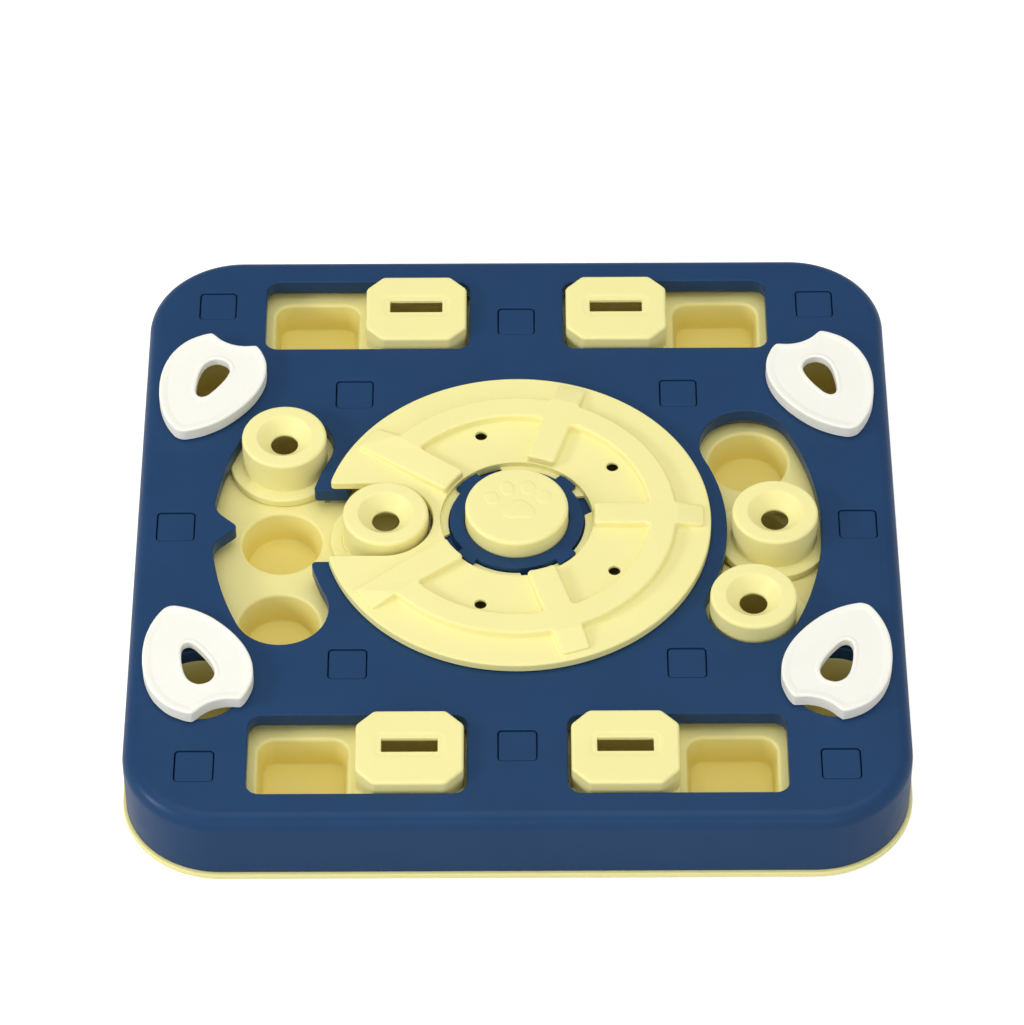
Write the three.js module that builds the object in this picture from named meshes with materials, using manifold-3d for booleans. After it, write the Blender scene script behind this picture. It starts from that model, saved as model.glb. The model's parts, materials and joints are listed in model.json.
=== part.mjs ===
// Dog puzzle feeder: a square tray under a cover, with sliding blocks, pucks in channels, swinging
// lids over corner cups, and a turning disc round a squeaker button.
// Sizes are millimetres. The origin is on the floor under the middle, +Z is up, the front faces -Y.
import * as THREE from "three";
import { mergeVertices } from "three/addons/utils/BufferGeometryUtils.js";
import Module from "manifold-3d";

const wasm = await Module();
wasm.setup();

const COVER_WIDTH = 288;
// Sizes and places in plan, as shares of the cover's width
const PLAN_SHARES = {
  footRadiusShare: 0.034722,
  footSiteShare: 0.399306,
  footPlateShare: 0.159722,
  coverCornerShare: 0.125,
  slotLengthShare: 0.277431,
  slotWidthShare: 0.127431,
  slotCornerShare: 0.017361,
  slotXShare: 0.202604,
  slotYShare: 0.389062,
  slotTrayLengthShare: 0.298611,
  slotTrayWidthShare: 0.14375,
  slotCupLengthShare: 0.116319,
  slotCupWidthShare: 0.10625,
  slotCupCornerShare: 0.022569,
  slotCupPitchShare: 0.137847,
  blockLengthShare: 0.136806,
  blockWidthShare: 0.119792,
  blockChamferShare: 0.022569,
  blockRailShare: 0.014583,
  blockEndPlayShare: 0.003819,
  blockHoleLengthShare: 0.071007,
  blockHoleWidthShare: 0.021181,
  blockHoleShiftShare: 0.003125,
  channelRadiusShare: 0.337847,
  channelWidthShare: 0.123611,
  channelTrayMarginShare: 0.011111,
  neckWidthShare: 0.125,
  cuspHeightShare: 0.034028,
  cuspWidthShare: 0.059722,
  cuspRootShare: 0.030556,
  cuspTipShare: 0.009028,
  roundCupRadiusShare: 0.053472,
  roundCupXShare: 0.307292,
  roundCupYShare: 0.144444,
  puckRadiusShare: 0.05625,
  puckMouthShare: 0.036806,
  puckHoleShare: 0.018056,
  flangeRadiusShare: 0.073611,
  cornerCupRadiusShare: 0.056944,
  cornerCupXShare: 0.40625,
  cornerCupYShare: 0.273264,
  lidTipXShare: 0.449444,
  lidTipYShare: 0.155903,
  lidLengthShare: 0.173438,
  lidPivotShare: 0.029514,
  discRadiusShare: 0.254861,
  discBoreShare: 0.100347,
  bandInnerShare: 0.174653,
  bandOuterShare: 0.209375,
  spokeInnerShare: 0.103125,
  spokeOuterShare: 0.245486,
  spokeWidthShare: 0.036458,
  spokeSideWidthShare: 0.041667,
  notchWidthShare: 0.127778,
  notchXShare: 0.173611,
  lipInnerShare: 0.089931,
  scentCircleShare: 0.156597,
  scentWellShare: 0.019097,
  openingRadiusShare: 0.232639,
  hubRadiusShare: 0.096181,
  hubFlangeShare: 0.113194,
  hubBoreShare: 0.078472,
  ringOuterShare: 0.0875,
  ringInnerShare: 0.070486,
  tabRadiusShare: 0.097222,
  tabWidthShare: 0.029167,
  buttonRadiusShare: 0.067708,
  buttonFlangeShare: 0.076389,
  bellowsOuterShare: 0.045139,
  bellowsInnerShare: 0.034722,
  plugWidthShare: 0.047917,
};

// Feet, rim and cover
const FOOT_RADIUS = COVER_WIDTH * PLAN_SHARES.footRadiusShare;
const FOOT_THICK = 1.6;
const FOOT_PROUD = 0.4;
const FOOT_SITE = COVER_WIDTH * PLAN_SHARES.footSiteShare;
const FOOT_PLATE = COVER_WIDTH * PLAN_SHARES.footPlateShare;
const RIM_STEP = 1.2;
const RIM_WIDTH = COVER_WIDTH + 2 * RIM_STEP;
const RIM_HEIGHT = 2.4;
const COVER_CORNER = COVER_WIDTH * PLAN_SHARES.coverCornerShare;
const RIM_CORNER = COVER_CORNER + RIM_STEP;
const COVER_HEIGHT = 28.7;
const COVER_EDGE = 5.5;
const COVER_SKIN = 2.5;
const LIP_DEPTH = 5.4;
const LIP_WALL = 2;

// Base tray and the cups
const TRAY_DROP = 9.4;
const TRAY_SKIN = 1.6;
const DECK_SKIN = 2;
const CUP_DEPTH = 11.6;
const CUP_WALL = 1.8;
const CUP_RIM = 1.2;
const CUP_FLOOR_EDGE = 2.4;
const BASE_WALL = 3.8;

// Slots, their cups and the sliding blocks
const SLOT_LENGTH = COVER_WIDTH * PLAN_SHARES.slotLengthShare;
const SLOT_WIDTH = COVER_WIDTH * PLAN_SHARES.slotWidthShare;
const SLOT_CORNER = COVER_WIDTH * PLAN_SHARES.slotCornerShare;
const SLOT_X = COVER_WIDTH * PLAN_SHARES.slotXShare;
const SLOT_Y = COVER_WIDTH * PLAN_SHARES.slotYShare;
const SLOT_TRAY_LENGTH = COVER_WIDTH * PLAN_SHARES.slotTrayLengthShare;
const SLOT_TRAY_WIDTH = COVER_WIDTH * PLAN_SHARES.slotTrayWidthShare;
const SLOT_CUP_LENGTH = COVER_WIDTH * PLAN_SHARES.slotCupLengthShare;
const SLOT_CUP_WIDTH = COVER_WIDTH * PLAN_SHARES.slotCupWidthShare;
const SLOT_CUP_CORNER = COVER_WIDTH * PLAN_SHARES.slotCupCornerShare;
const SLOT_CUP_PITCH = COVER_WIDTH * PLAN_SHARES.slotCupPitchShare;
const SLOT_CUP_TAPER = 2;
const BLOCK_LENGTH = COVER_WIDTH * PLAN_SHARES.blockLengthShare;
const BLOCK_WIDTH = COVER_WIDTH * PLAN_SHARES.blockWidthShare;
const BLOCK_CHAMFER = COVER_WIDTH * PLAN_SHARES.blockChamferShare;
const BLOCK_RISE = 4.1;
const BLOCK_ROUND = 3;
const BLOCK_EDGE = 1.2;
const BLOCK_WALL = 2;
const BLOCK_SKIN = 1.5;
const BLOCK_RAIL = COVER_WIDTH * PLAN_SHARES.blockRailShare;
const BLOCK_END_PLAY = COVER_WIDTH * PLAN_SHARES.blockEndPlayShare;
const BLOCK_HOLE_LENGTH = COVER_WIDTH * PLAN_SHARES.blockHoleLengthShare;
const BLOCK_HOLE_WIDTH = COVER_WIDTH * PLAN_SHARES.blockHoleWidthShare;
const BLOCK_HOLE_SHIFT = COVER_WIDTH * PLAN_SHARES.blockHoleShiftShare;

// Curved channels, their cups and the pucks
const CHANNEL_RADIUS = COVER_WIDTH * PLAN_SHARES.channelRadiusShare;
const CHANNEL_WIDTH = COVER_WIDTH * PLAN_SHARES.channelWidthShare;
const TRAY_LEDGE = 2.2;
const CHANNEL_HALF_ANGLE = THREE.MathUtils.degToRad(25.2);
const CHANNEL_TRAY_MARGIN = COVER_WIDTH * PLAN_SHARES.channelTrayMarginShare;
const NECK_WIDTH = COVER_WIDTH * PLAN_SHARES.neckWidthShare;
const NECK_EDGE = 1.5;
const CUSP_HEIGHT = COVER_WIDTH * PLAN_SHARES.cuspHeightShare;
const CUSP_WIDTH = COVER_WIDTH * PLAN_SHARES.cuspWidthShare;
const CUSP_ROOT = COVER_WIDTH * PLAN_SHARES.cuspRootShare;
const CUSP_TIP = COVER_WIDTH * PLAN_SHARES.cuspTipShare;
const ROUND_CUP_RADIUS = COVER_WIDTH * PLAN_SHARES.roundCupRadiusShare;
const ROUND_CUP_TAPER = 2;
const ROUND_CUP_X = COVER_WIDTH * PLAN_SHARES.roundCupXShare;
const ROUND_CUP_Y = COVER_WIDTH * PLAN_SHARES.roundCupYShare;
const PUCK_RADIUS = COVER_WIDTH * PLAN_SHARES.puckRadiusShare;
const PUCK_RISE = 7.3;
const PUCK_EDGE = 2.6;
const PUCK_WALL = 2.5;
const PUCK_SKIN = 1.5;
const PUCK_MOUTH = COVER_WIDTH * PLAN_SHARES.puckMouthShare;
const PUCK_HOLE = COVER_WIDTH * PLAN_SHARES.puckHoleShare;
const PUCK_DISH = 4.9;
const FLANGE_RADIUS = COVER_WIDTH * PLAN_SHARES.flangeRadiusShare;
const FLANGE_THICK = 2.6;
const FLANGE_LIFT = 0.3;
// Where each puck stands: its distance from the middle as a share of the channels' radius, and its turn
const PUCK_PLACE_SHARES = {
  puck_rear_left: [1.00146, THREE.MathUtils.degToRad(155.83)],
  puck_notch: [0.50874, Math.PI],
  puck_right_middle: [1.00206, 0],
  puck_right_front: [1.0026, THREE.MathUtils.degToRad(-25.567)],
};

// Corner cups and the lids that swing over them
const CORNER_CUP_RADIUS = COVER_WIDTH * PLAN_SHARES.cornerCupRadiusShare;
const CORNER_CUP_X = COVER_WIDTH * PLAN_SHARES.cornerCupXShare;
const CORNER_CUP_Y = COVER_WIDTH * PLAN_SHARES.cornerCupYShare;
const LID_LIFT = 0.3;
const LID_THICK = 5.4;
const LID_EDGE = 1.3;
const LID_WALL = 2.4;
const LID_SKIN = 3.6;
const LID_TIP_X = COVER_WIDTH * PLAN_SHARES.lidTipXShare;
const LID_TIP_Y = COVER_WIDTH * PLAN_SHARES.lidTipYShare;
const LID_SLANT = THREE.MathUtils.degToRad(68.19);
const LID_LENGTH = COVER_WIDTH * PLAN_SHARES.lidLengthShare;
// Halves of the lid's outline and of its eye: distance from the lid's tip along its axis, then to the
// side, as shares of its length
const LID_SIDE_SHARES = [
  [0.0042, 0.0272],
  [0.0256, 0.0701],
  [0.1001, 0.162],
  [0.226, 0.2633],
  [0.4104, 0.3502],
  [0.5674, 0.3894],
  [0.6911, 0.395],
  [0.7946, 0.3794],
  [0.9119, 0.3317],
  [1.005, 0.2543],
  [1.039, 0.2122],
  [1.05, 0.1882],
  [1.043, 0.1642],
  [1.0156, 0.1023],
  [1, 0.034],
];
const LID_EYE_SHARES = [
  [0.392, 0.011],
  [0.4004, 0.028],
  [0.4304, 0.0521],
  [0.4805, 0.0711],
  [0.5445, 0.0901],
  [0.6106, 0.1041],
  [0.6727, 0.1101],
  [0.7327, 0.1021],
  [0.7788, 0.0741],
  [0.8048, 0.034],
];
const LID_PIVOT = COVER_WIDTH * PLAN_SHARES.lidPivotShare;
const PIN_RADIUS = 3.2;
const PIN_PLAY = 0.25;
const PIN_PROUD = 0.2;

// Disc, hub, lock ring, button and bellows
const DISC_RADIUS = COVER_WIDTH * PLAN_SHARES.discRadiusShare;
const DISC_LIFT = 0.3;
const DISC_THICK = 3.5;
const DISC_BORE = COVER_WIDTH * PLAN_SHARES.discBoreShare;
const PATTERN_RISE = 3.3;
const BAND_INNER = COVER_WIDTH * PLAN_SHARES.bandInnerShare;
const BAND_OUTER = COVER_WIDTH * PLAN_SHARES.bandOuterShare;
const SPOKE_INNER = COVER_WIDTH * PLAN_SHARES.spokeInnerShare;
const SPOKE_OUTER = COVER_WIDTH * PLAN_SHARES.spokeOuterShare;
const SPOKE_WIDTH = COVER_WIDTH * PLAN_SHARES.spokeWidthShare;
const SPOKE_SIDE_WIDTH = COVER_WIDTH * PLAN_SHARES.spokeSideWidthShare;
const SPOKE_COUNT = 5;
const RELIEF_WALL = 2.2;
const NOTCH_WIDTH = COVER_WIDTH * PLAN_SHARES.notchWidthShare;
const NOTCH_X = COVER_WIDTH * PLAN_SHARES.notchXShare;
const NOTCH_EDGE = 1.5;
const LIP_INNER = COVER_WIDTH * PLAN_SHARES.lipInnerShare;
const LIP_LIFT = 0.2;
const LIP_THICK = 1.2;
const LIP_GAP = THREE.MathUtils.degToRad(20);
const LIP_GAP_TURNS = [18.3, 111, 203, 283.5].map(THREE.MathUtils.degToRad);
const SCENT_RADIUS = 2.2;
const SCENT_CIRCLE = COVER_WIDTH * PLAN_SHARES.scentCircleShare;
const SCENT_WELL = COVER_WIDTH * PLAN_SHARES.scentWellShare;
const SCENT_SKIN = 1.2;
const SCENT_TURNS = [36, 107.5, -36, -107.5].map(THREE.MathUtils.degToRad);
const OPENING_RADIUS = COVER_WIDTH * PLAN_SHARES.openingRadiusShare;
const HUB_RADIUS = COVER_WIDTH * PLAN_SHARES.hubRadiusShare;
const HUB_FLANGE = COVER_WIDTH * PLAN_SHARES.hubFlangeShare;
const HUB_FLANGE_THICK = 2.4;
const HUB_GAP = 0.1;
const HUB_BORE = COVER_WIDTH * PLAN_SHARES.hubBoreShare;
const HUB_FLOOR = 2;
const HUB_VENT = 2;
const RING_OUTER = COVER_WIDTH * PLAN_SHARES.ringOuterShare;
const RING_INNER = COVER_WIDTH * PLAN_SHARES.ringInnerShare;
const RING_HEIGHT = 3.5;
const TAB_RADIUS = COVER_WIDTH * PLAN_SHARES.tabRadiusShare;
const TAB_WIDTH = COVER_WIDTH * PLAN_SHARES.tabWidthShare;
const TAB_GAP = 0.4;
const TAB_TURNS = [45, 134, 225, 314].map(THREE.MathUtils.degToRad);
const BUTTON_RADIUS = COVER_WIDTH * PLAN_SHARES.buttonRadiusShare;
const BUTTON_RISE = 11.2;
const BUTTON_EDGE = 1.3;
const BUTTON_WALL = 2.2;
const BUTTON_FLANGE = COVER_WIDTH * PLAN_SHARES.buttonFlangeShare;
const BUTTON_FLANGE_THICK = 2;
const BUTTON_FLANGE_GAP = 0.5;
const BELLOWS_OUTER = COVER_WIDTH * PLAN_SHARES.bellowsOuterShare;
const BELLOWS_INNER = COVER_WIDTH * PLAN_SHARES.bellowsInnerShare;
const BELLOWS_WALL = 1.2;
const BELLOWS_FOLDS = 3;

// Plugs and the screws under them
const PLUG_WIDTH = COVER_WIDTH * PLAN_SHARES.plugWidthShare;
const PLUG_CORNER = 1.3;
const PLUG_GAP = 0.4;
const PLUG_SINK = 0.4;
const PLUG_THICK = 1.9;
const PLUG_EDGE = 0.3;
const POCKET_WALL = 1.4;
const POCKET_FLOOR = 1.5;
const BOSS_RADIUS = 4;
const SCREW_HEAD = 3.4;
const SCREW_HEAD_THICK = 1.4;
const SCREW_RADIUS = 1.5;
const SCREW_LENGTH = 8;
const SCREW_PLAY = 0.2;
const LID_SCREW_HEAD = 5.5;
const LID_SCREW_THICK = 1.7;
const LID_SCREW_LENGTH = 3.6;
const LID_SCREW_RADIUS = 1.3;
const PLUG_SITE_SHARES = {
  corner: [0.407465, 0.407465],
  inner: [0.217535, 0.239236],
  end: [0, 0.376042],
  side: [0.447917, 0],
};

// Clearances, overruns and how finely curves are cut
const GAP = 0.3;
const OVER = 1;
const MERGE = 1e-4;
const FINE = 40;
const ROUND = 20;
const COARSE = 6;
const CORNER_STEPS = 5;
const EDGE_STEPS = 2;
const LID_STEPS = 28;
const EYE_STEPS = 20;

// Heights
const COVER_FOOT = FOOT_PROUD + RIM_HEIGHT;
const COVER_TOP = COVER_FOOT + COVER_HEIGHT;
const PLATE_BOTTOM = COVER_TOP - COVER_SKIN;
const LIP_BOTTOM = COVER_TOP - LIP_DEPTH;
const TRAY_TOP = COVER_TOP - TRAY_DROP;
const DECK_TOP = TRAY_TOP - TRAY_SKIN;
const DECK_BOTTOM = DECK_TOP - DECK_SKIN;
const CUP_FLOOR = TRAY_TOP - CUP_DEPTH;
const CUP_BOTTOM = CUP_FLOOR - CUP_WALL;
const FLANGE_BOTTOM = TRAY_TOP + FLANGE_LIFT;
const FLANGE_TOP = FLANGE_BOTTOM + FLANGE_THICK;
const LID_BOTTOM = COVER_TOP + LID_LIFT;
const LID_TOP = LID_BOTTOM + LID_THICK;
const DISC_BOTTOM = COVER_TOP + DISC_LIFT;
const DISC_TOP = DISC_BOTTOM + DISC_THICK;
const PATTERN_TOP = DISC_TOP + PATTERN_RISE;
const HUB_TOP = DISC_BOTTOM - HUB_GAP;
const RING_TOP = HUB_TOP + RING_HEIGHT;
const BUTTON_TOP = COVER_TOP + BUTTON_RISE;
const POCKET_BOTTOM = LIP_BOTTOM;
const POCKET_TOP = POCKET_BOTTOM + POCKET_FLOOR;
const PLUG_TOP = COVER_TOP - PLUG_SINK;

const QUARTER = Math.PI / 2;
const NAVY = 0x2a4368;
const CREAM = 0xf3eda6;
const WHITE = 0xfbf9f0;
const STEEL = 0xb4b6b8;
const RUBBER = 0x2b2b2b;
const FRONT_REAR = { front: -1, rear: 1 };
const LEFT_RIGHT = { left: -1, right: 1 };

// A three.js geometry as a closed solid, facing out
function solid(geometry) {
  const plain = geometry.index ? geometry.toNonIndexed() : geometry.clone();
  const bare = new THREE.BufferGeometry();
  bare.setAttribute("position", plain.getAttribute("position"));
  const merged = mergeVertices(bare, MERGE);
  const index = merged.index.array;
  const kept = [];
  for (let i = 0; i < index.length; i += 3) {
    const [a, b, c] = [index[i], index[i + 1], index[i + 2]];
    if (a !== b && b !== c && c !== a) kept.push(a, b, c);
  }
  const build = (triVerts) =>
    new wasm.Manifold(
      new wasm.Mesh({
        numProp: 3,
        vertProperties: new Float32Array(merged.attributes.position.array),
        triVerts: new Uint32Array(triVerts),
      }),
    );
  const made = build(kept);
  return made.volume() < 0 ? build(kept.reverse()) : made;
}

function joined(solids) {
  return solids.reduce((whole, next) => whole.add(next));
}

function cut(body, tools) {
  return tools.reduce((rest, tool) => rest.subtract(tool), body);
}

function placed(geometry, x, y, turn) {
  return solid(geometry.rotateZ(turn).translate(x, y, 0));
}

// A flat shape made solid between two heights
function prism(shape, bottom, top, x = 0, y = 0, turn = 0, steps = CORNER_STEPS) {
  const geometry = new THREE.ExtrudeGeometry(shape, {
    depth: top - bottom,
    bevelEnabled: false,
    curveSegments: steps,
  });
  return placed(geometry.translate(0, 0, bottom), x, y, turn);
}

// A solid whose outline is drawn in by an inset that changes with height: levels are [height, inset]
function loft(outline, levels, x = 0, y = 0, turn = 0) {
  const rings = levels.map(([, inset]) => outline(inset));
  const count = rings[0].length;
  const points = [];
  rings.forEach((ring, level) => {
    ring.forEach((p) => points.push(p.x, p.y, levels[level][0]));
  });
  const index = [];
  for (let level = 0; level + 1 < rings.length; level++) {
    for (let i = 0; i < count; i++) {
      const next = (i + 1) % count;
      const low = level * count;
      const high = low + count;
      index.push(low + i, low + next, high + next, low + i, high + next, high + i);
    }
  }
  const last = (rings.length - 1) * count;
  for (const [a, b, c] of THREE.ShapeUtils.triangulateShape(rings[0], []))
    index.push(a, c, b);
  for (const [a, b, c] of THREE.ShapeUtils.triangulateShape(rings[rings.length - 1], []))
    index.push(last + a, last + b, last + c);
  const geometry = new THREE.BufferGeometry();
  geometry.setAttribute("position", new THREE.Float32BufferAttribute(points, 3));
  geometry.setIndex(index);
  return placed(geometry, x, y, turn);
}

// A closed or axis-to-axis profile of [radius, height] points turned about the vertical axis
function turned(profile, x = 0, y = 0, steps = ROUND) {
  const points = profile.map(([r, z]) => new THREE.Vector2(r, z));
  return placed(new THREE.LatheGeometry(points, steps).rotateX(QUARTER), x, y, 0);
}

function block(xs, ys, zs, x = 0, y = 0, turn = 0) {
  const geometry = new THREE.BoxGeometry(xs[1] - xs[0], ys[1] - ys[0], zs[1] - zs[0]);
  geometry.translate((xs[0] + xs[1]) / 2, (ys[0] + ys[1]) / 2, (zs[0] + zs[1]) / 2);
  return placed(geometry, x, y, turn);
}

function roundedOutline(halfX, halfY, corner, steps = CORNER_STEPS) {
  return (inset) => {
    const radius = corner - inset;
    const points = [];
    for (let quadrant = 0; quadrant < 4; quadrant++) {
      const sx = quadrant === 0 || quadrant === 3 ? 1 : -1;
      const sy = quadrant < 2 ? 1 : -1;
      for (let step = 0; step <= steps; step++) {
        const angle = (quadrant + step / steps) * QUARTER;
        points.push(
          new THREE.Vector2(
            sx * (halfX - corner) + radius * Math.cos(angle),
            sy * (halfY - corner) + radius * Math.sin(angle),
          ),
        );
      }
    }
    return points;
  };
}

function circleOutline(radius, steps = ROUND) {
  return (inset) => {
    const points = [];
    for (let step = 0; step < steps; step++) {
      const angle = (step / steps) * 4 * QUARTER;
      points.push(
        new THREE.Vector2(Math.cos(angle), Math.sin(angle)).multiplyScalar(radius - inset),
      );
    }
    return points;
  };
}

// A rectangle with chamfered corners, each of the eight edges rounded by a radius
function chamferedOutline(halfX, halfY, chamfer, round) {
  return (inset) => {
    const x = halfX - inset;
    const y = halfY - inset;
    const c = chamfer - inset * (2 - Math.SQRT2);
    const corners = [
      [x, c - y],
      [x, y - c],
      [x - c, y],
      [c - x, y],
      [-x, y - c],
      [-x, c - y],
      [c - x, -y],
      [x - c, -y],
    ].map((p) => new THREE.Vector2(...p));
    const reach = (round - inset) * Math.tan(QUARTER / 4);
    return corners.flatMap((p, i) => {
      const back = corners[(i + 7) % 8].clone().sub(p).setLength(reach);
      const ahead = corners[(i + 1) % 8].clone().sub(p).setLength(reach);
      const middle = back.clone().add(ahead).multiplyScalar(1 / 4);
      return [back.add(p), middle.add(p), ahead.add(p)];
    });
  };
}

// Levels for a body with upright sides and a rounded upper edge
function edged(bottom, top, radius, steps = EDGE_STEPS) {
  const levels = [[bottom, 0]];
  for (let step = 0; step <= steps; step++) {
    const angle = (step / steps) * QUARTER;
    levels.push([
      top - radius + radius * Math.sin(angle),
      radius - radius * Math.cos(angle),
    ]);
  }
  return levels;
}

function cylinder(radius, bottom, top, x = 0, y = 0, steps = ROUND) {
  return loft(circleOutline(radius, steps), [[bottom, 0], [top, 0]], x, y);
}

// The inside of a cup from its rounded floor to the flare at its rim, carried on above the rim
function cupInside(outline, floor, rim, taper) {
  const slope = taper / (rim - floor);
  return {
    outline,
    levels: [
      [floor, taper + CUP_FLOOR_EDGE],
      [floor + CUP_FLOOR_EDGE, taper - slope * CUP_FLOOR_EDGE],
      [rim - CUP_RIM, slope * CUP_RIM],
      [rim, -CUP_RIM],
      [rim + OVER, -CUP_RIM],
    ],
  };
}

// The outside of the same cup, from its underside to a height
function cupOutside(outline, top, taper) {
  return {
    outline,
    levels: [
      [CUP_BOTTOM, taper + CUP_RIM - CUP_WALL],
      [CUP_FLOOR + CUP_FLOOR_EDGE, taper - CUP_WALL],
      [top, -CUP_WALL],
    ],
  };
}

const quadrants = [];
for (const [depth, sy] of Object.entries(FRONT_REAR))
  for (const [side, sx] of Object.entries(LEFT_RIGHT))
    quadrants.push({ name: depth + "_" + side, sx, sy });

const plugSites = [];
for (const q of quadrants) {
  for (const kind of ["corner", "inner"]) {
    const [x, y] = PLUG_SITE_SHARES[kind].map((share) => share * COVER_WIDTH);
    plugSites.push({ name: kind + "_" + q.name, x: q.sx * x, y: q.sy * y });
  }
}
for (const [depth, sy] of Object.entries(FRONT_REAR))
  plugSites.push({ name: depth, x: 0, y: sy * PLUG_SITE_SHARES.end[1] * COVER_WIDTH });
for (const [side, sx] of Object.entries(LEFT_RIGHT))
  plugSites.push({ name: side, x: sx * PLUG_SITE_SHARES.side[0] * COVER_WIDTH, y: 0 });

// Where each lid's own frame sits: its tip, its axis and its pivot
const lidSites = quadrants.map((q) => {
  const along = [-q.sx * Math.cos(LID_SLANT), q.sy * Math.sin(LID_SLANT)];
  const tip = [q.sx * LID_TIP_X, q.sy * LID_TIP_Y];
  return {
    name: q.name,
    tip,
    turn: Math.atan2(along[1], along[0]),
    pivot: [tip[0] + along[0] * LID_PIVOT, tip[1] + along[1] * LID_PIVOT],
  };
});

// A channel follows the disc's rim and has round ends. It is drawn for the right side.
function channelShape(spread) {
  const half = CHANNEL_WIDTH / 2 + spread;
  const endX = CHANNEL_RADIUS * Math.cos(CHANNEL_HALF_ANGLE);
  const endY = CHANNEL_RADIUS * Math.sin(CHANNEL_HALF_ANGLE);
  const shape = new THREE.Shape();
  const a = CHANNEL_HALF_ANGLE;
  shape.absarc(0, 0, CHANNEL_RADIUS + half, -a, a, false);
  shape.absarc(endX, endY, half, a, a + Math.PI, false);
  shape.absarc(0, 0, CHANNEL_RADIUS - half, a, -a, true);
  shape.absarc(endX, -endY, half, Math.PI - a, 2 * Math.PI - a, false);
  return shape;
}

// The pointed wall that stands into the left channel, drawn for the right side
function cuspShape() {
  const wall = CHANNEL_RADIUS + CHANNEL_WIDTH / 2;
  const half = CUSP_WIDTH / 2;
  const vertex = new THREE.Vector2(wall - CUSP_HEIGHT, 0);
  const root = new THREE.Vector2(Math.sqrt(wall * wall - half * half), half);
  const side = root.clone().sub(vertex).normalize();
  const low = root.clone().addScaledVector(side, -CUSP_ROOT / 2);
  const high = vertex.clone().addScaledVector(side, CUSP_TIP);
  const out = half + CUSP_ROOT / 2;
  const outX = Math.sqrt(wall * wall - out * out);
  const shape = new THREE.Shape();
  shape.moveTo(wall + LIP_WALL, -out);
  shape.lineTo(wall + LIP_WALL, out);
  shape.lineTo(outX, out);
  shape.quadraticCurveTo(root.x, root.y, low.x, low.y);
  shape.lineTo(high.x, high.y);
  shape.quadraticCurveTo(vertex.x, vertex.y, high.x, -high.y);
  shape.lineTo(low.x, -low.y);
  shape.quadraticCurveTo(root.x, -root.y, outX, -out);
  return shape;
}

// What rounds off the corner where a straight wall at half width meets a circle about the origin
function cornerWedges(circle, half, radius, bottom, top) {
  const centreY = half + radius;
  const centreX = -Math.sqrt((circle - radius) ** 2 - centreY ** 2);
  const reach = circle / (circle - radius);
  const touch = [centreX * reach, centreY * reach];
  return [1, -1].map((side) => {
    const shape = new THREE.Shape();
    const angle = Math.atan2(centreY, centreX);
    shape.moveTo(centreX, side * (half - OVER));
    shape.lineTo(centreX, side * half);
    shape.absarc(centreX, side * centreY, radius, -side * QUARTER, side * angle, side > 0);
    shape.lineTo(touch[0] - OVER, side * touch[1]);
    shape.lineTo(touch[0] - OVER, side * (half - OVER));
    return prism(shape, bottom, top);
  });
}

// The left channel's opening: the channel, the neck that leads to the disc, less the cusp
function leftOpening(spread, bottom, top) {
  const half = NECK_WIDTH / 2 + spread;
  const inner = CHANNEL_RADIUS - CHANNEL_WIDTH / 2;
  const parts = [
    prism(channelShape(spread), bottom, top, 0, 0, Math.PI, FINE / 4),
    block([-inner - OVER - spread, -OPENING_RADIUS / 2], [-half, half], [bottom, top]),
  ];
  if (spread) return joined(parts);
  const whole = joined([...parts, ...cornerWedges(inner, half, NECK_EDGE, bottom, top)]);
  return whole.subtract(prism(cuspShape(), bottom, top, 0, 0, Math.PI));
}

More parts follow.
